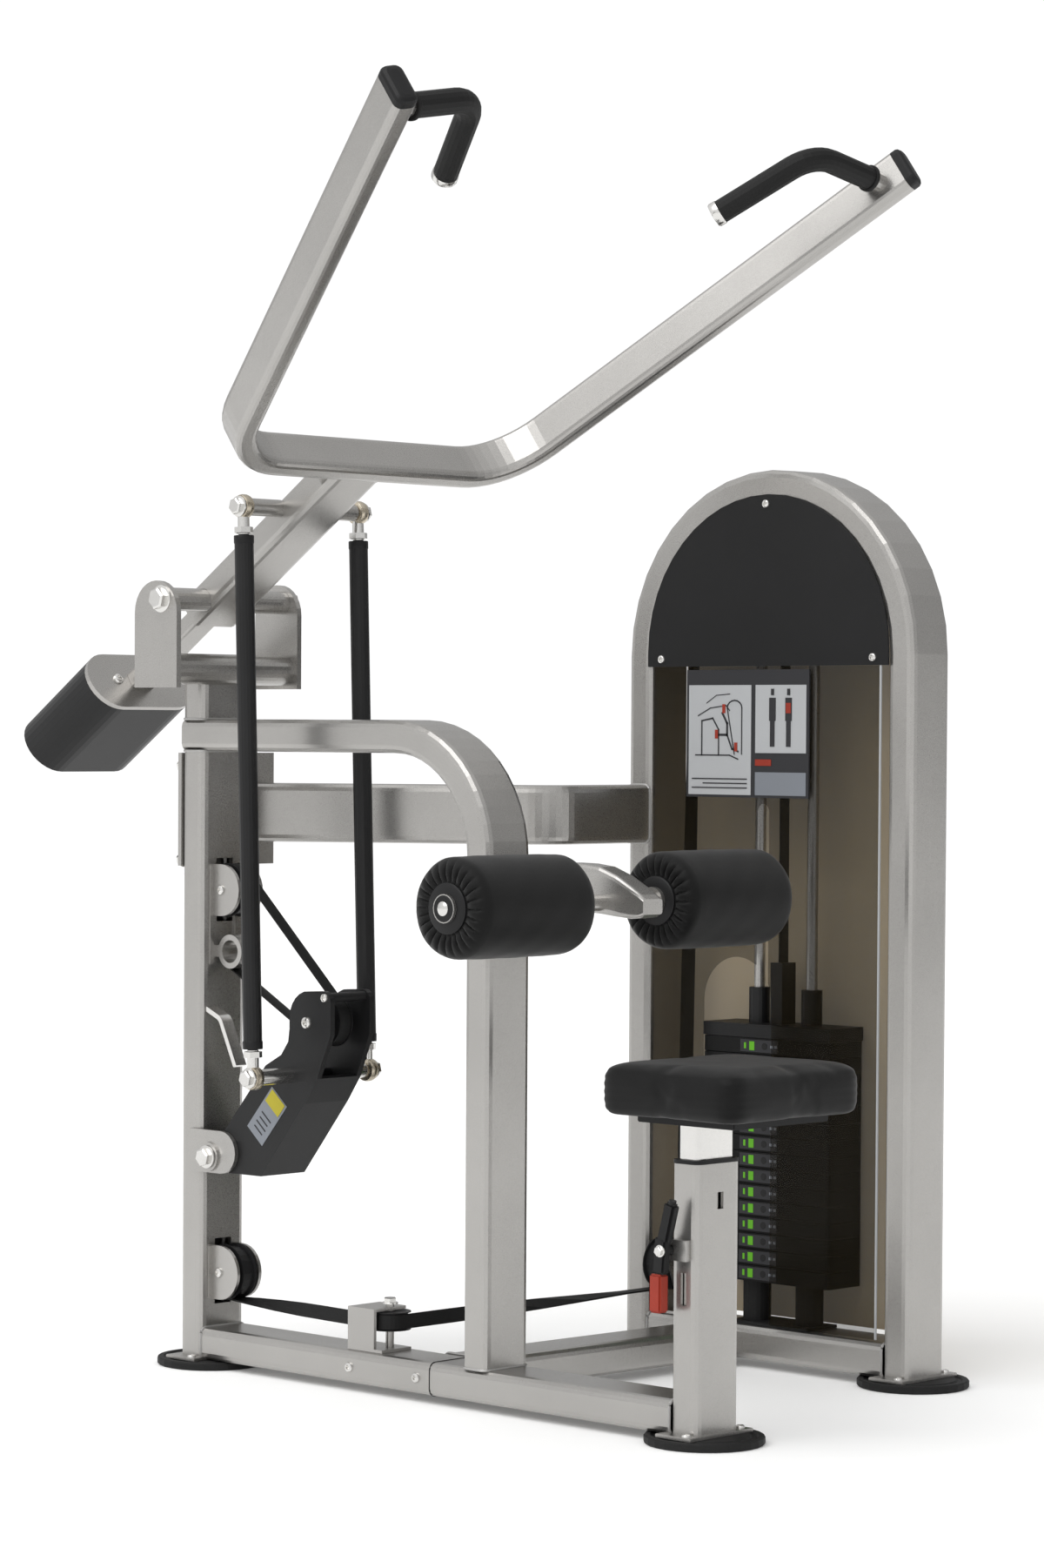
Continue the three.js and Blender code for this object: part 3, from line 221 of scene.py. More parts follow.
def make_materials():
    MAT["silver"] = coated("silver_coat", (0.425, 0.414, 0.398), 0.9, 0.29, 1400.0, 0.00012, 0.05, 0.12)
    MAT["bright"] = coated("bright_steel", (0.72, 0.71, 0.69), 1.0, 0.2, 700.0, 0.00005, 0.06)
    MAT["brassy"] = coated("brassy_zinc", (0.56, 0.5, 0.4), 1.0, 0.28, 500.0, 0.0001, 0.12)
    MAT["black"] = coated("black_coat", (0.011, 0.011, 0.0115), 0.1, 0.42, 1600.0, 0.0002, 0.2, 0.1)
    MAT["iron"] = coated("plate_iron", (0.004, 0.004, 0.004), 0.2, 0.55, 500.0, 0.0004, 0.25)
    MAT["rubber"] = coated("rubber", (0.01, 0.01, 0.01), 0.0, 0.62, 380.0, 0.0004, 0.2)
    MAT["grip"] = coated("grip_rubber", (0.007, 0.007, 0.007), 0.0, 0.55, 700.0, 0.0005, 0.2)
    MAT["plastic"] = coated("black_plastic", (0.009, 0.009, 0.0095), 0.0, 0.45, 900.0, 0.0002, 0.15)
    MAT["belt"] = coated("belt_cover", (0.007, 0.007, 0.007), 0.0, 0.6, 1200.0, 0.0003, 0.2)
    MAT["vinyl"] = grained_vinyl("vinyl", (0.0065, 0.0065, 0.0065))
    MAT["front_shroud"] = smoked("smoked_front", (0.012, 0.009, 0.004), 0.68)
    MAT["rear_shroud"] = smoked("smoked_rear", (0.44, 0.345, 0.2), 0.24)
    # White of the printed panels, also used for the painted highlight strip along the front shroud's edge
    MAT["print_white_and_highlight"] = printed("white_label_and_highlight", (0.42, 0.43, 0.44))
    MAT["ink"] = printed("label_ink", (0.03, 0.03, 0.033))
    MAT["pale"] = printed("label_pale", (0.2, 0.215, 0.24))
    MAT["yellow"] = printed("label_yellow", (0.42, 0.36, 0.03))
    MAT["green"] = printed("label_green", (0.12, 0.42, 0.02))
    MAT["red"] = coated("red_grip", (0.3, 0.035, 0.02), 0.0, 0.4, 600.0, 0.0002, 0.12)
    MAT["weld"] = coated("weld_bead", (0.4, 0.395, 0.385), 0.5, 0.42, 260.0, 0.0008, 0.1)


SLOT_MATERIAL = {
    "frame_silver": "silver",
    "bright_steel": "bright",
    "black_steel": "black",
    "rubber": "rubber",
    "black_plastic": "plastic",
    "smoked_plastic": "front_shroud",
    "vinyl": "vinyl",
    "belt": "belt",
    "placard": "ink",
}
NODE_MATERIAL = {
    "rear_shroud": "rear_shroud",
    "guide_rod_far": "silver",
    "guide_rod_near": "silver",
    "plates_lifted": "iron",
    "plates_resting": "iron",
    "handle_grip_left": "grip",
    "handle_grip_right": "grip",
}


def dress_cad():
    """Gives every CAD node its material and rounded shading."""
    slots = {row["node"]: row["material_slot"] for row in frame["record"]["subparts"]}
    for name, obj in NODES.items():
        key = NODE_MATERIAL.get(name, SLOT_MATERIAL[slots[name]])
        obj.data.materials.clear()
        obj.data.materials.append(MAT[key])
        for polygon in obj.data.polygons:
            polygon.use_smooth = True
        obj.data.set_sharp_from_angle(angle=math.radians(SHARP_ANGLE))
        shade = obj.modifiers.new("shade", "WEIGHTED_NORMAL")
        shade.keep_sharp = True


# ---------- mesh tools ----------

BATCHES = {}


def batch(name, body, material):
    """One growing mesh per name: small parts of a kind that ride on one body."""
    if name not in BATCHES:
        BATCHES[name] = (bmesh.new(), body, material)
    return BATCHES[name][0]


def finish_batches():
    """Turns every batch into one object on its body."""
    for name, (mesh, body, material) in BATCHES.items():
        bmesh.ops.recalc_face_normals(mesh, faces=mesh.faces)
        add_object(name, mesh, body, material)


def new_object(name, mesh, material, angle=SHARP_ANGLE):
    """Turns a bmesh into a smooth-shaded object that rides on nothing yet."""
    data = bpy.data.meshes.new(name)
    mesh.to_mesh(data)
    mesh.free()
    data.materials.append(MAT[material])
    for polygon in data.polygons:
        polygon.use_smooth = True
    data.set_sharp_from_angle(angle=math.radians(angle))
    obj = bpy.data.objects.new(name, data)
    SCENE.collection.objects.link(obj)
    return obj


def add_object(name, mesh, body, material, angle=SHARP_ANGLE):
    obj = new_object(name, mesh, material, angle)
    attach(obj, body)
    return obj


def basis(axis):
    axis = Vector(axis).normalized()
    other = Vector((0, 0, 1)) if abs(axis.z) < 0.9 else Vector((1, 0, 0))
    side = axis.cross(other).normalized()
    return side, axis.cross(side).normalized(), axis


def lathe(mesh, centre, axis, profile, steps=24, turn=0.0):
    """Turns a profile of (radius, height) about an axis and closes both ends."""
    side, up, axis = basis(axis)
    rings = []
    for radius, height in profile:
        ring = []
        for i in range(steps):
            angle = turn + 2 * math.pi * i / steps
            out = side * math.cos(angle) + up * math.sin(angle)
            ring.append(mesh.verts.new(centre + out * radius + axis * height))
        rings.append(ring)
    for low, high in zip(rings, rings[1:]):
        for i in range(steps):
            mesh.faces.new((low[i], low[(i + 1) % steps], high[(i + 1) % steps], high[i]))
    mesh.faces.new(rings[0][::-1])
    mesh.faces.new(rings[-1])


def slab(mesh, centre, half, axes=((1, 0, 0), (0, 1, 0), (0, 0, 1)), bevel=0.0):
    """Box with optional bevelled edges; half holds the half sizes along the three axes."""
    ax = [Vector(a).normalized() for a in axes]
    made = bmesh.ops.create_cube(mesh, size=2.0)["verts"]
    for vert in made:
        co = vert.co.copy()
        vert.co = centre + ax[0] * (co.x * half[0]) + ax[1] * (co.y * half[1]) + ax[2] * (co.z * half[2])
    if bevel:
        edges = {edge for vert in made for edge in vert.link_edges}
        bmesh.ops.bevel(mesh, geom=list(edges), offset=bevel, segments=2, affect="EDGES", clamp_overlap=True)


def hex_bolt(name, centre, axis, flats, body):
    """Bolt head on a washer: centre is on the surface, axis points out of it."""
    mesh = batch(name, body, "bright")
    axis = Vector(axis).normalized()
    tall = flats * 0.42
    washer_top = flats * 0.09
    rim = [(flats * 0.72, -0.0006), (flats * 0.72, washer_top * 0.8), (flats * 0.68, washer_top)]
    lathe(mesh, centre, axis, rim, 24)
    corner = flats / math.sqrt(3)
    head = [
        (corner, washer_top - 0.0004),
        (corner, washer_top + tall * 0.82),
        (flats * 0.47, washer_top + tall),
    ]
    lathe(mesh, centre, axis, head, 6, 0.26)


def button_head(name, centre, axis, radius, body):
    """Domed screw head with a socket."""
    mesh = batch(name, body, "bright")
    shares = ((1, 0.15), (0.86, 0.42), (0.6, 0.55), (0.42, 0.57), (0.36, 0.2))
    profile = [(radius, -0.0005)] + [(radius * across, radius * up) for across, up in shares]
    lathe(mesh, centre, axis, profile, 20)


def sweep_frames(mesh, outline, frames):
    """Sweeps a closed outline of (a, b) along frames of (point, u, v) and caps both ends."""
    rings = [[mesh.verts.new(p + u * a + v * b) for a, b in outline] for p, u, v in frames]
    count = len(outline)
    for low, high in zip(rings, rings[1:]):
        for i in range(count):
            mesh.faces.new((low[i], low[(i + 1) % count], high[(i + 1) % count], high[i]))
    mesh.faces.new(rings[0][::-1])
    mesh.faces.new(rings[-1])


def arc_points(centre, radius, start, stop, steps):
    """Points (a, b) on a circle, from one angle to another in radians."""
    return [
        (centre[0] + radius * math.cos(start + (stop - start) * i / steps),
         centre[1] + radius * math.sin(start + (stop - start) * i / steps))
        for i in range(steps + 1)
    ]


def rounded_rect(width, height, radius, steps=4):
    """Outline of (a, b) round a rectangle with rounded corners."""
    points = []
    for sx, sy, quarter in ((1, 1, 0), (-1, 1, 1), (-1, -1, 2), (1, -1, 3)):
        centre = (sx * (width / 2 - radius), sy * (height / 2 - radius))
        points += arc_points(centre, radius, quarter * math.pi / 2, (quarter + 1) * math.pi / 2, steps)
    return points


def closed_cord(mesh, points, radius, steps=6):
    """Thin round bead along a closed loop of points."""
    count = len(points)
    rings = []
    for i, point in enumerate(points):
        ahead = (points[(i + 1) % count] - points[i - 1]).normalized()
        side, up = basis(ahead)[:2]
        ring = []
        for k in range(steps):
            angle = 2 * math.pi * k / steps
            out = side * math.cos(angle) + up * math.sin(angle)
            ring.append(mesh.verts.new(point + out * radius))
        rings.append(ring)
    for i in range(count):
        low, high = rings[i], rings[(i + 1) % count]
        for k in range(steps):
            mesh.faces.new((low[k], low[(k + 1) % steps], high[(k + 1) % steps], high[k]))


# ---------- soft goods ----------

PLEATS = 26
STILL = 1e-6
HUB_R = 0.040
PAD_EDGE_R = 0.024


def pleat(radius, pad_r, angle):
    """How far the gathered vinyl sinks on a pad's end, at this radius and angle."""
    inner, outer = HUB_R, pad_r * 0.93
    if not inner < radius < outer:
        return 0.0
    share = (radius - inner) / (outer - inner)
    fold = abs(math.sin(PLEATS * angle / 2 + 0.35 * math.sin(3 * angle)))
    return (1 - fold) ** 2 * 0.0075 * math.sin(math.pi * (share ** 0.6))


def make_roller(side, name):
    """Foam roller in vinyl, gathered into pleats around a hub disc at both ends."""
    node = f"roller_pad_{name}"
    low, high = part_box(node)
    centre = (low + high) / 2
    pad_r = (high.z - low.z) / 2 - 0.0005
    half = (high.x - low.x) / 2
    edge = PAD_EDGE_R
    steps = PLEATS * 8
    end = [
        (HUB_R - 0.004, half - 0.004),
        (HUB_R, half - 0.0045),
        (HUB_R + 0.004, half - 0.002),
        (HUB_R + 0.011, half),
    ]
    for i in range(8):
        angle = math.pi / 2 * (1 - i / 7)
        end.append((pad_r - edge + edge * math.cos(angle), half - edge + edge * math.sin(angle)))
    body = []
    for i in range(1, 13):
        share = i / 13
        body.append((pad_r + 0.0006 * math.sin(math.pi * share), (half - edge) * (1 - 2 * share)))
    profile = end + body + [(r, -h) for r, h in reversed(end)]
    mesh = bmesh.new()
    rings = []
    for radius, height in profile:
        ring = []
        for k in range(steps):
            angle = 2 * math.pi * k / steps
            sink = pleat(radius, pad_r, angle)
            lean = 1 if height > 0 else -1
            wave = 0.0006 * math.sin(5 * angle + height * 40) * math.sin(height * 55 + angle)
            far = radius + (wave if radius > pad_r * 0.9 else 0.0) - sink * 0.5
            spot = Vector((height - lean * sink, far * math.cos(angle), far * math.sin(angle)))
            ring.append(mesh.verts.new(centre + spot))
        rings.append(ring)
    for lower, upper in zip(rings, rings[1:]):
        for k in range(steps):
            mesh.faces.new((lower[k], upper[k], upper[(k + 1) % steps], lower[(k + 1) % steps]))
    mesh.faces.new(rings[0])
    mesh.faces.new(rings[-1][::-1])
    bmesh.ops.recalc_face_normals(mesh, faces=mesh.faces)
    pad = add_object(f"roller_{name}", mesh, node, "vinyl", 60)
    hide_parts(node)
    hubs = batch(f"roller_hubs_{name}", node, "plastic")
    disc = [(HUB_R - 0.001, 0), (HUB_R - 0.001, 0.0045), (HUB_R - 0.004, 0.0065), (0.016, 0.0068)]
    for end_side in (1, -1):
        place = centre + Vector((end_side * (half - 0.006), 0, 0))
        lathe(hubs, place, (end_side, 0, 0), disc, 40)
    cap = batch("roller_axle_caps", "frame", "plastic")
    cup = [(0.0215, -0.004), (0.0215, 0.0052), (0.0192, 0.0068)]
    lathe(cap, centre + Vector((side * half, 0, 0)), (side, 0, 0), cup, 32)
    tip = Vector((side * (half + 0.0066), 0, 0))
    bolt = [(0.011, 0), (0.011, 0.0015), (0.0075, 0.0035), (0.0045, 0.0045)]
    lathe(batch("roller_bolts", "frame", "bright"), centre + tip, (side, 0, 0), bolt, 20)


# The cushion starts smaller than its CAD solid, and the cloth swells it back
SEAT_SHRINK = 0.008
SEAT_CORNER_R = 0.03
SEAT_VOXEL = 0.006
SEAT_PRESSURE = 3.0
SEAT_CAP = 0.007
SEAM_INSET = 0.006


def puff(obj, pressure, cap, frames=20):
    """Swells a closed mesh with cloth pressure, and caps how far any point moves."""
    rest = [v.co.copy() for v in obj.data.vertices]
    cloth = obj.modifiers.new("swell", "CLOTH")
    cloth.settings.use_pressure = True
    cloth.settings.uniform_pressure_force = pressure
    cloth.settings.effector_weights.gravity = 0.0
    cloth.settings.tension_stiffness = 25
    cloth.settings.compression_stiffness = 25
    cloth.settings.bending_stiffness = 1.5
    cloth.settings.quality = 6
    for step in range(1, frames + 1):
        SCENE.frame_set(step)
    graph = bpy.context.evaluated_depsgraph_get()
    swollen = [v.co.copy() for v in obj.evaluated_get(graph).data.vertices]
    obj.modifiers.remove(cloth)
    SCENE.frame_set(1)
    for vertex, before, after in zip(obj.data.vertices, rest, swollen):
        move = after - before
        if move.length > STILL:
            move = move.normalized() * cap * (1 - math.exp(-move.length / cap))
        vertex.co = before + move


def applied(obj):
    """Replaces the object's mesh by its evaluated one and drops the modifiers."""
    graph = bpy.context.evaluated_depsgraph_get()
    data = bpy.data.meshes.new_from_object(obj.evaluated_get(graph))
    obj.modifiers.clear()
    obj.data = data


def make_seat():
    """Seat cushion: a rounded block swollen by cloth pressure, flat underneath, with corner seams."""
    low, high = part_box("seat_cushion")
    centre = (low + high) / 2
    wide, deep = high.x - low.x - SEAT_SHRINK, high.y - low.y - SEAT_SHRINK
    tall = high.z - low.z
    rows = ((0.0, 0.95), (0.10, 0.99), (0.22, 1.0), (0.72, 1.0), (0.86, 0.985), (0.94, 0.95), (0.97, 0.9))
    outline = rounded_rect(wide, deep, SEAT_CORNER_R, 5)
    mesh = bmesh.new()
    frames = [
        (Vector((centre.x, centre.y, low.z + share * tall)), Vector((k, 0, 0)), Vector((0, k, 0)))
        for share, k in rows
    ]
    sweep_frames(mesh, outline, frames)
    seat = add_object("seat_pad", mesh, "seat", "vinyl", 180)
    remesh = seat.modifiers.new("voxels", "REMESH")
    remesh.mode = "VOXEL"
    remesh.voxel_size = SEAT_VOXEL
    remesh.use_smooth_shade = True
    applied(seat)
    puff(seat, SEAT_PRESSURE, SEAT_CAP)
    for vertex in seat.data.vertices:
        vertex.co.z = max(vertex.co.z, low.z)
        vertex.co.z = min(vertex.co.z, high.z + 0.004)
    smooth = seat.modifiers.new("smooth", "SMOOTH")
    smooth.iterations = 4
    subdivide = seat.modifiers.new("finer", "SUBSURF")
    subdivide.levels = 1
    subdivide.render_levels = 1
    applied(seat)
    for vertex in seat.data.vertices:
        crease_sink(vertex, centre, wide, deep)
    for polygon in seat.data.polygons:
        polygon.use_smooth = True
    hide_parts("seat_cushion")


def crease_sink(vertex, centre, wide, deep):
    """Sinks the cover a little along the sewn corner seams and pulls soft puckers around them."""
    x, y = vertex.co.x - centre.x, vertex.co.y - centre.y
    for sx in (-1, 1):
        for sy in (-1, 1):
            near = math.hypot(x - sx * (wide / 2 - SEAM_INSET), y - sy * (deep / 2 - SEAM_INSET))
            depth = 0.0026 * math.exp(-(near / 0.0055) ** 2)
            ripple = 0.0007 * math.exp(-near / 0.04) * math.sin(vertex.co.z * 520 + sx)
            vertex.co.x -= sx * (depth + ripple) * 0.7
            vertex.co.y -= sy * (depth + ripple) * 0.7


# ---------- belts ----------

BELT_HALF_W = 0.012
BELT_T = 0.003
BELT_OUT = 0.0028


def pulley_circle(node):
    """Centre and radius of a pulley, from its box."""
    low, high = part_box(node)
    return (low + high) / 2, (high.z - low.z) / 2


def tangent(a, ra, b, rb, side):
    """Angle on both circles of the tangent that stays on one side, in the YZ plane."""
    reach = b - a
    base = math.atan2(reach.z, reach.y)
    return base + side * math.acos((ra - rb) / math.hypot(reach.y, reach.z))


def belt_mesh(points):
    """Flat belt swept along points in a YZ plane."""
    mesh = bmesh.new()
    outline = rounded_rect(BELT_T, 2 * BELT_HALF_W, 0.0012, 2)
    frames = []
    for i, point in enumerate(points):
        ahead = (points[min(i + 1, len(points) - 1)] - points[max(i - 1, 0)]).normalized()
        frames.append((point, Vector((1, 0, 0)).cross(ahead).normalized(), Vector((1, 0, 0))))
    sweep_frames(mesh, outline, frames)
    bmesh.ops.recalc_face_normals(mesh, faces=mesh.faces)
    return mesh


def around(centre, radius, start, stop, steps):
    return [centre + Vector((0, y, z)) for y, z in arc_points((0, 0), radius, start, stop, steps)]


def between(a, b, steps):
    return [a.lerp(b, i / steps) for i in range(1, steps)]


def blended(name, mesh, node):
    """Belt run as a loose object baked into world space, riding on no body; hides the CAD node it stands in
    for.
    """
    obj = new_object(name, mesh, "belt")
    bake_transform(obj)
    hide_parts(node)


ANCHOR = (0, -0.065, 0.710)
ANCHOR_R = 0.031


def make_lever_belts():
    """Two runs: column pulley to lever pulley, and lever pulley back to the anchor on the column."""
    upper, upper_r = pulley_circle("pulley_column_upper")
    lever, lever_r = pulley_circle("pulley_lever")
    upper_r -= BELT_OUT
    lever_r -= BELT_OUT
    anchor = at(*ANCHOR)
    on_upper = tangent(upper, upper_r, lever, lever_r, -1) + 2 * math.pi
    on_anchor = tangent(lever, lever_r, anchor, ANCHOR_R, -1) + 2 * math.pi
    middle = (on_upper + on_anchor) / 2
    start = around(upper, upper_r, 0.04, on_upper, 20)
    first = around(lever, lever_r, on_upper, middle, 12)
    blended("lever_belt_upper", belt_mesh(start + between(start[-1], first[0], 24) + first),
            "lever_belt")
    second = around(lever, lever_r, middle, on_anchor, 14)
    hold = around(anchor, ANCHOR_R, on_anchor, on_anchor + 0.7, 8)
    blended("lever_belt_lower", belt_mesh(second + between(second[-1], hold[0], 20) + hold),
            "lever_belt")


def make_stack_belt():
    """Straight run from the top pulleys to the stack."""
    low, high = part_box("stack_belt")
    x, y = (low.x + high.x) / 2, (low.y + high.y) / 2
    top, bottom = Vector((x, y, high.z)), Vector((x, y, low.z))
    points = [top] + between(top, bottom, 40) + [bottom]
    blended("stack_belt_run", belt_mesh(points), "stack_belt")


# ---------- fasteners, welds and fittings ----------

# Anything ending in _X is a distance from the middle; eyes, pivots and the bend are (y, z)
RAIL_H = 0.0547
TOWER_RAIL_H = 0.0597
TOWER_RAIL_MIDDLE_Z = 0.0432
TUBE_CORNER_R = 0.0127
WELD_R = 0.0024
SEAM_STANDS_OUT = 0.0003
ROD_X = 0.132
PIN_END_X = 0.142
CHEEK_X = 0.0505
TOP_EYE = (-0.213, 1.455)
LOW_EYE = (-0.243, 0.512)
ARM_PIVOT = (-0.025, 1.306)
LEVER_PIVOT = (-0.055, 0.363)
HANDLE_BEND = (-0.368, 1.531)
HANDLE_ANGLE = math.radians(36)
BEAM_ANGLE = math.radians(34)


def make_feet():
    """Steel plate and two screws on each rubber foot."""
    plates = batch("foot_plates", "frame", "silver")
    for name in ("foot_column", "foot_seat", "foot_tower_near", "foot_tower_far"):
        low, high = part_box(name)
        centre = Vector(((low.x + high.x) / 2, (low.y + high.y) / 2, high.z))
        slab(plates, centre + Vector((0, 0, 0.0025)), (0.074, 0.036, 0.003), bevel=0.001)
        for side in (-1, 1):
            place = centre + Vector((side * 0.063, -0.018, 0.0055))
            button_head("foot_bolts", place, (0, 0, 1), 0.0075, "frame")


def weld_loop(centre, u, v, width, height):
    """Weld bead all round a rounded tube, in the plane of u and v."""
    loop = rounded_rect(width, height, TUBE_CORNER_R, 6)
    points = [centre + u * a + v * b for a, b in loop]
    closed_cord(batch("welds_frame", "frame", "weld"), points, WELD_R)


def make_welds():
    """Beads where one tube meets another."""
    x, y, z = Vector((1, 0, 0)), Vector((0, 1, 0)), Vector((0, 0, 1))
    wide, thin = 2 * TUBE_HALF_W, 2 * TUBE_HALF_T
    for place in ((0, -0.673, 0.0685), (0, 0, 1.0502), (0, 0, 1.1047)):
        weld_loop(at(*place), x, y, wide, thin)
    for place in ((0.0512, -0.560, RAIL_MIDDLE_Z), (0.6195, -0.600, RAIL_MIDDLE_Z)):
        weld_loop(at(*place), y, z, wide, RAIL_H)
    weld_loop(at(0.6195, -0.4204, 0.944), y, z, 0.0508, wide)
    for end_y in (-0.0272, -1.0898):
        weld_loop(at(0, end_y, RAIL_MIDDLE_Z), x, z, wide, RAIL_H)
    for end_y in (-0.4478, -0.9682):
        weld_loop(at(TOWER_X, end_y, TOWER_RAIL_MIDDLE_Z), x, z, wide, TOWER_RAIL_H)


def make_frame_bolts():
    """Bolts and screws of the fixed frame, and the splice seam round the base rail."""
    for y in (-0.39, -0.545):
        button_head("rail_bolts", at(-TUBE_HALF_W, y, 0.041), (-1, 0, 0), 0.0085, "frame")
        button_head("rail_bolts", at(TUBE_HALF_W, y, 0.041), (1, 0, 0), 0.0085, "frame")
    seam = rounded_rect(2 * TUBE_HALF_W + SEAM_STANDS_OUT, RAIL_H + SEAM_STANDS_OUT, TUBE_CORNER_R, 5)
    points = [at(0, -0.575, RAIL_MIDDLE_Z) + Vector((a, 0, b)) for a, b in seam]
    closed_cord(batch("rail_seam", "frame", "black"), points, 0.0009)
    for z in (0.865, 1.025):
        for x in (-0.037, 0.037):
            hex_bolt("flange_bolts", at(x, 0.0353, z), (0, 1, 0), 0.019, "frame")
    for side in (-1, 1):
        hex_bolt("pivot_bolts", at(side * 0.144, *ARM_PIVOT), (side, 0, 0), 0.032, "frame")
        hex_bolt("lever_pivot_bolts", at(side * 0.0645, *LEVER_PIVOT), (side, 0, 0), 0.027, "frame")
        for node in ("pulley_column_upper", "pulley_column_lower"):
            centre = pulley_circle(node)[0]
            button_head("pulley_bolts", centre + Vector((side * 0.028, 0, 0)), (side, 0, 0), 0.009, "frame")
    hex_bolt("swivel_bolt", at(0.008, -0.425, 0.1445), (0, 0, 1), 0.019, "frame")
    for y, z in ((-0.9415, 1.213), (-0.708, 1.475), (-0.4745, 1.213)):
        button_head("cover_screws", at(0.6162, y, z), (-1, 0, 0), 0.0075, "frame")


def ring_eye(name, centre, axis, body, material):
    """Forged rod end: a waisted eye around the pin."""
    mesh = batch(name, body, material)
    half = [(0.0142, -0.0095), (0.0188, -0.0075), (0.0202, -0.003)]
    lathe(mesh, centre, axis, half + [(r, -h) for r, h in reversed(half)], 28)


def make_linkage_fittings():
    """Rod ends, nuts and collars on both pushrods, and the pins, spacers and axle screws beside them."""
    up = (at(0, *TOP_EYE) - at(0, *LOW_EYE)).normalized()
    for side, word in ((-1, "left"), (1, "right")):
        body = f"pushrod_{word}"
        for spot, way in ((TOP_EYE, -1), (LOW_EYE, 1)):
            eye = at(side * ROD_X, *spot)
            ring_eye(f"rod_ends_{word}", eye, (1, 0, 0), body, "brassy")
            shank = batch(f"rod_shanks_{word}", body, "bright")
            lathe(shank, eye, up * way, [(0.0095, 0.014), (0.0098, 0.03), (0.0098, 0.046)], 18)
            lathe(shank, eye, up * way, [(0.0158, 0.034), (0.0158, 0.0435), (0.0148, 0.0445)], 6)
            collar = batch(f"rod_collars_{word}", body, "plastic")
            sleeve = [(0.0162, 0.0478), (0.0168, 0.049), (0.0168, 0.06), (0.0162, 0.0615)]
            lathe(collar, eye, up * way, sleeve, 28)
        out = (side, 0, 0)
        hex_bolt("beam_pin_bolts", at(side * PIN_END_X, *TOP_EYE), out, 0.024, "arm")
        hex_bolt("lever_pin_bolts", at(side * PIN_END_X, *LOW_EYE), out, 0.024, "lever")
        spacer = batch("lever_spacers", "lever", "bright")
        lathe(spacer, at(side * CHEEK_X, *LOW_EYE), out, [(0.0135, 0), (0.0135, 0.070), (0.011, 0.0715)], 24)
        spacer = batch("beam_spacers", "arm", "silver")
        lathe(spacer, at(side * CHEEK_X, *TOP_EYE), out, [(0.0145, 0), (0.0145, 0.070), (0.011, 0.0715)], 24)
        centre = pulley_circle("pulley_lever")[0]
        button_head("lever_axle_bolts", centre + Vector((side * CHEEK_X, 0, 0)), out, 0.0105, "lever")
        button_head("lever_axle_bolts", at(side * CHEEK_X, -0.327, 0.645), out, 0.0075, "lever")


def flat_label(name, body, material, centre, u, v, half_u, half_v, out, thick=0.0004):
    slab(batch(name, body, material), centre + Vector(out) * thick, (half_u, half_v, thick), (u, v, out))


def make_lever_label():
    """Generic two-tone sticker on the lever's near cheek."""
    along = Vector((0, -0.185 + 0.084, 0.525 - 0.408)).normalized()
    across = Vector((1, 0, 0)).cross(along)
    centre = at(-CHEEK_X, -0.190, 0.440)
    out = (-1, 0, 0)
    flat_label("lever_label", "lever", "pale", centre, along, across, 0.046, 0.024, out)
    top = centre + along * 0.031 + Vector((-0.0009, 0, 0))
    flat_label("lever_label_band", "lever", "yellow", top, along, across, 0.013, 0.020, out)
    for i in range(4):
        row = centre - along * (0.002 + 0.010 * i) + Vector((-0.0009, 0, 0))
        reach = 0.014 - 0.002 * (i % 2)
        flat_label("lever_label_lines", "lever", "ink", row, along, across, 0.0012, reach, out, 0.0002)


# The printed panels stand off the board, and the marks off the panels
PANEL_LIFT = 0.0002
PRINT_LIFT = 0.0011


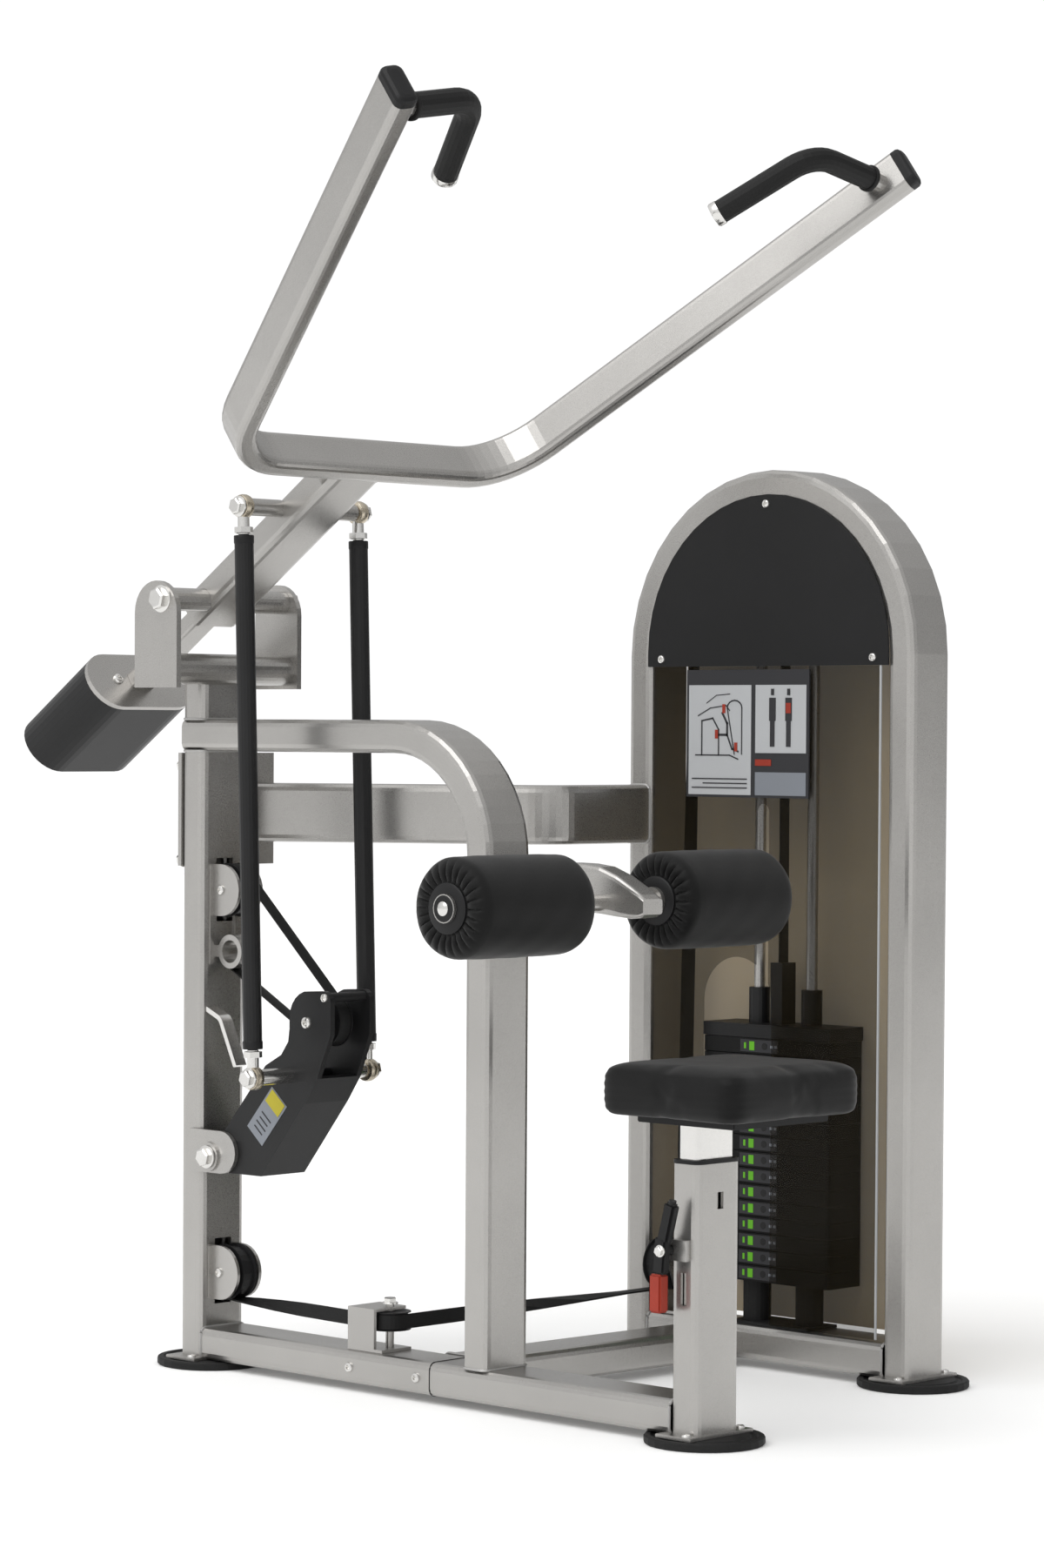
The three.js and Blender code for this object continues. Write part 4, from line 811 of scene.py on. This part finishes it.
def make_placard():
    """Instruction board with plain picture panels: no lettering. Shares run from its far edge, upwards."""
    low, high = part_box("placard")
    u, v, out = Vector((0, 1, 0)), Vector((0, 0, 1)), Vector((-1, 0, 0))
    wide, tall = high.y - low.y, high.z - low.z

    def spot(across, up, lift):
        return Vector((low.x - lift, high.y - across * wide, low.z + up * tall))

    def panel(name, material, left, right, bottom, top, lift=PANEL_LIFT):
        centre = spot((left + right) / 2, (bottom + top) / 2, lift)
        half_u, half_v = (right - left) * wide / 2, (top - bottom) * tall / 2
        flat_label(name, "frame", material, centre, u, v, half_u, half_v, out, 0.0003)

    def stroke(points, width):
        spots = [spot(across, up, PRINT_LIFT) for across, up in points]
        for start, end in zip(spots, spots[1:]):
            along = (end - start).normalized()
            half = ((end - start).length + width) / 2
            across = along.cross(out)
            middle = (start + end) / 2
            flat_label("placard_sketch", "frame", "ink", middle, along, across, half, width / 2, out, 0.0002)

    panel("placard_big", "print_white_and_highlight", 0.02, 0.535, 0.02, 0.88)
    panel("placard_small", "print_white_and_highlight", 0.57, 0.98, 0.35, 0.88)
    panel("placard_grey", "pale", 0.57, 0.98, 0.02, 0.2)
    panel("placard_red", "red", 0.57, 0.70, 0.25, 0.3, PANEL_LIFT * 2)
    hoop = arc_points((0.40, 0.70), 0.06, math.pi, 0.0, 8)
    stroke([(0.08, 0.33), (0.36, 0.33), (0.43, 0.30)], 0.0022)
    stroke([(0.13, 0.33), (0.13, 0.60), (0.22, 0.62), (0.27, 0.53), (0.27, 0.33)], 0.0026)
    stroke([(0.10, 0.64), (0.20, 0.70), (0.33, 0.72), (0.36, 0.68)], 0.0018)
    stroke([(0.40, 0.34)] + hoop + [(0.46, 0.34)], 0.0022)
    stroke([(0.27, 0.49), (0.34, 0.49), (0.34, 0.58), (0.30, 0.66)], 0.0040)
    stroke([(0.34, 0.49), (0.38, 0.38), (0.43, 0.36)], 0.0030)
    stroke([(0.17, 0.74), (0.25, 0.80), (0.36, 0.81)], 0.0014)
    for left, bottom in ((0.30, 0.66), (0.24, 0.46), (0.40, 0.36)):
        panel("placard_marks", "red", left, left + 0.025, bottom, bottom + 0.07, PRINT_LIFT)
    for k in range(3):
        bottom = 0.07 + 0.035 * k
        panel("placard_rows", "ink", 0.05 + 0.09 * (k % 2), 0.505, bottom, bottom + 0.009, PRINT_LIFT)
    for middle in (0.71, 0.84):
        for half, bottom, top in ((0.012, 0.80, 0.85), (0.026, 0.60, 0.78), (0.018, 0.40, 0.60)):
            panel("placard_figures", "ink", middle - half, middle + half, bottom, top, PRINT_LIFT)
    panel("placard_figure_mark", "red", 0.82, 0.86, 0.66, 0.74, PRINT_LIFT + 0.0005)


PLATE_PITCH = 0.0278
RESTING_PLATES = 10
LIFTED_PLATES = 5
PIN_LINE_Y = -0.706
# Name, material, place along y from the pin line, half width, half height, lift and half thickness
TAGS = (
    ("tag_field", "ink", 0.012, 0.042, 0.0105, 0.0002, 0.0004),
    ("tag_green", "green", 0.028, 0.0055, 0.0075, 0.0007, 0.0003),
    ("tag_small", "green", 0.043, 0.0022, 0.005, 0.0007, 0.0003),
    ("tag_dash", "pale", -0.016, 0.0028, 0.0022, 0.0007, 0.0003),
    ("tag_dash", "pale", -0.025, 0.0028, 0.0022, 0.0007, 0.0003),
)


def make_stack_tags():
    """Green tag, pin hole and small pale dashes on each plate."""
    rest_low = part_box("plates_resting")[0]
    lift_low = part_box("plates_lifted")[0]
    face = rest_low.x
    pin_y = at(0, PIN_LINE_Y, 0).y
    rim = [(0.0062, 0), (0.0062, 0.0009), (0.0045, 0.0010)]
    groups = (
        (RESTING_PLATES, rest_low.z, "frame", "resting"),
        (LIFTED_PLATES, lift_low.z, "stack", "lifted"),
    )
    for count, start, body, word in groups:
        for i in range(count):
            z = start + (i + 0.5) * PLATE_PITCH
            for name, material, y, half_y, half_z, lift, thick in TAGS:
                mesh = batch(f"{name}_{word}", body, material)
                slab(mesh, Vector((face - lift, pin_y + y, z)), (thick, half_y, half_z))
            if body == "frame" or i > 0:
                hole = batch(f"pin_holes_{word}", body, "black")
                lathe(hole, Vector((face, pin_y, z)), (-1, 0, 0), rim, 16)


def make_seat_fittings():
    """Collar on the seat post, grip and plate of the seat lever, and the pan under the cushion."""
    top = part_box("seat_post")[1].z
    rim = batch("seat_collar", "frame", "plastic")
    outline = rounded_rect(0.104, 0.0565, 0.0137, 5)
    inner = rounded_rect(0.0905, 0.041, 0.0075, 5)
    build_ring(rim, at(0, -1.117, top), outline, inner, 0.006)
    grip = batch("seat_lever_grip", "seat_lever", "red")
    slab(grip, at(-0.079, -1.0915, 0.2345), (0.0105, 0.0115, 0.0295), bevel=0.003)
    sleeve = batch("seat_lever_plate", "seat_lever", "plastic")
    blades = ((-1.0965, 0.292, 0.028, 0.08, 0.003), (-1.109, 0.343, 0.032, 0.26, 0.004))
    for y, z, half_z, lean, bevel in blades:
        axes = ((1, 0, 0), (0, 1, lean), (0, -lean, 1))
        slab(sleeve, at(-0.078, y, z), (0.0085, 0.011, half_z), axes, bevel)
    pan_low, pan_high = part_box("seat_inner_tube")
    pan = batch("seat_pan", "seat", "plastic")
    middle = (pan_low + pan_high) / 2
    half = (pan_high - pan_low) / 2
    centre = Vector((middle.x, middle.y, pan_high.z - 0.005))
    slab(pan, centre, (half.x + 0.0012, half.y + 0.0012, 0.0062), bevel=0.0015)
    hex_bolt("seat_lever_bolt", at(-0.0865, -1.1, 0.300), (-1, 0, 0), 0.013, "seat_lever")


def build_ring(mesh, centre, outer, inner, tall):
    """Flat collar between two outlines with the same number of points."""
    z = Vector((0, 0, tall))
    loops = []
    for outline, lift in ((inner, 0), (outer, 0), (outer, 1), (inner, 1)):
        loops.append([mesh.verts.new(centre + Vector((a, b, 0)) + z * lift) for a, b in outline])
    count = len(outer)
    for k in range(4):
        low, high = loops[k], loops[(k + 1) % 4]
        for i in range(count):
            mesh.faces.new((low[i], low[(i + 1) % count], high[(i + 1) % count], high[i]))


def arm_axes(angle):
    """Unit vectors along and above a bar that rises towards the seat at this angle."""
    along = Vector((0, -math.cos(angle), math.sin(angle)))
    above = Vector((0, math.sin(angle), math.cos(angle)))
    return along, above


def make_grip_ends():
    """Chromed end cap in the mouth of each handgrip, and its rubber flange at the arm."""
    s, n = arm_axes(HANDLE_ANGLE)
    for side, word in ((-1, "left"), (1, "right")):
        bend = at(side * 0.393, *HANDLE_BEND) + s * 0.789 + n * 0.027
        end = at(side * 0.312, *HANDLE_BEND) + s * 0.620 + n * 0.033
        away = (end - bend).normalized()
        mesh = batch(f"grip_cap_{word}", "arm", "bright")
        cap = [(0.0203, 0), (0.0206, 0.002), (0.0206, 0.011), (0.0190, 0.0135), (0.012, 0.0145)]
        lathe(mesh, end - away * 0.012, away, cap, 32)
        collar = batch(f"grip_flange_{word}", "arm", "grip")
        root = at(side * 0.531, *HANDLE_BEND) + s * 0.7769 + n * 0.0036
        toward = (bend - root).normalized()
        lathe(collar, root, toward, [(0.0205, -0.002), (0.0222, 0), (0.0222, 0.004), (0.0205, 0.006)], 32)


def make_counterweight_bolts():
    """Two screws in the plate in front of the counterweight, on the face towards the pivot."""
    along, above = arm_axes(BEAM_ANGLE)
    pivot = at(0, *ARM_PIVOT)
    for x in (-0.05, 0.05):
        place = pivot + Vector((x, 0, 0)) + along * -0.2553 + above * 0.012
        button_head("counterweight_bolts", place, along, 0.010, "arm")


def make_shroud_painted_highlight():
    """Painted highlight: a pale strip along the front shroud's edge on the side nearer the seat, standing in
    for the light caught by that edge.
    """
    low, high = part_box("front_shroud")
    # Painted highlight: a pale strip in place of the light along the shroud's edge
    strip = batch("painted_highlight_shroud", "frame", "print_white_and_highlight")
    centre = Vector((low.x + 0.0016, low.y - 0.0022, (low.z + high.z) / 2))
    slab(strip, centre, (0.0015, 0.002, (high.z - low.z) / 2), bevel=0.0006)


# ---------- studio ----------

KEY_FROM = (-0.62, 0.02, 0.78)
KEY_STRENGTH = 1.35
KEY_SPREAD = math.radians(50)
FACING = (-0.62, 0.05, 0.62)
BACKDROP_R = 24.0
BACKDROP_H = 9.0
FLOOR_GLOW = 0.09
# The room goes from dark to bright as a direction dotted with FACING goes from away to toward
ROOM_DARK = 0.36
ROOM_BRIGHT = 0.95
ROOM_AWAY = -0.75
ROOM_TOWARD = 0.9


def make_world():
    """Soft room: brighter above and on the left, darker below and on the right."""
    world = bpy.data.worlds.new("studio")
    world.use_nodes = True
    nodes, links = world.node_tree.nodes, world.node_tree.links
    coord = nodes.new("ShaderNodeTexCoord").outputs["Generated"]
    facing = nodes.new("ShaderNodeVectorMath")
    facing.operation = "DOT_PRODUCT"
    facing.inputs[1].default_value = FACING
    links.new(coord, facing.inputs[0])
    level = nodes.new("ShaderNodeMapRange")
    level.interpolation_type = "SMOOTHSTEP"
    level.inputs["From Min"].default_value = ROOM_AWAY
    level.inputs["From Max"].default_value = ROOM_TOWARD
    level.inputs["To Min"].default_value = ROOM_DARK
    level.inputs["To Max"].default_value = ROOM_BRIGHT
    nodes["Background"].inputs["Color"].default_value = (1, 1, 1, 1)
    links.new(facing.outputs["Value"], level.inputs["Value"])
    links.new(level.outputs["Result"], nodes["Background"].inputs["Strength"])
    SCENE.world = world


def make_lights():
    """One broad, soft key light from the upper left."""
    data = bpy.data.lights.new("key", "SUN")
    data.energy = KEY_STRENGTH
    data.angle = KEY_SPREAD
    light = bpy.data.objects.new("key", data)
    SCENE.collection.objects.link(light)
    light.rotation_euler = (-Vector(KEY_FROM)).to_track_quat("-Z", "Y").to_euler()
    SCENE.view_settings.view_transform = "Standard"


def stage_object(name, mesh, material):
    data = bpy.data.meshes.new(name)
    mesh.to_mesh(data)
    mesh.free()
    data.materials.append(material)
    obj = bpy.data.objects.new(name, data)
    SCENE.collection.objects.link(obj)
    return obj


def make_floor():
    """Pale floor, and a white wall round it that only the camera sees."""
    material, nodes, links = new_material("floor_white")
    shader = nodes["Principled BSDF"]
    coord = nodes.new("ShaderNodeTexCoord").outputs["Object"]
    drift = noise(nodes, links, coord, 0.7)
    tone = ramp(nodes, links, drift, [(0.3, (0.93, 0.93, 0.925)), (0.7, (0.95, 0.95, 0.945))])
    links.new(tone, shader.inputs["Base Color"])
    shader.inputs["Roughness"].default_value = 0.95
    shader.inputs["Specular IOR Level"].default_value = 0.1
    shader.inputs["Emission Color"].default_value = (1, 1, 1, 1)
    shader.inputs["Emission Strength"].default_value = FLOOR_GLOW
    mesh = bmesh.new()
    bmesh.ops.create_circle(mesh, cap_ends=True, segments=96, radius=BACKDROP_R)
    floor = stage_object("floor", mesh, material)
    floor.location = (0, 0, -0.0005)
    wall_material, nodes, links = new_material("backdrop_white")
    wall_shader = nodes["Principled BSDF"]
    wall_shader.inputs["Base Color"].default_value = (0, 0, 0, 1)
    wall_shader.inputs["Emission Color"].default_value = (1, 1, 1, 1)
    wall_shader.inputs["Emission Strength"].default_value = 1.0
    mesh = bmesh.new()
    sides = {"radius1": BACKDROP_R, "radius2": BACKDROP_R, "depth": BACKDROP_H}
    bmesh.ops.create_cone(mesh, cap_ends=False, segments=96, **sides)
    wall = stage_object("backdrop", mesh, wall_material)
    wall.location = (0, 0, BACKDROP_H / 2 - 0.01)
    wall.visible_diffuse = False
    wall.visible_glossy = False
    wall.visible_shadow = False


def write_sizes():
    """Only imports json: neither the CAD box nor the visual model's box is written."""
    import json


make_camera()
make_materials()
dress_cad()
make_roller(-1, "left")
make_roller(1, "right")
make_seat()
make_lever_belts()
make_stack_belt()
make_feet()
make_welds()
make_frame_bolts()
make_linkage_fittings()
make_lever_label()
make_placard()
make_stack_tags()
make_seat_fittings()
make_grip_ends()
make_counterweight_bolts()
make_shroud_painted_highlight()
finish_batches()
make_world()
make_lights()
make_floor()
write_sizes()
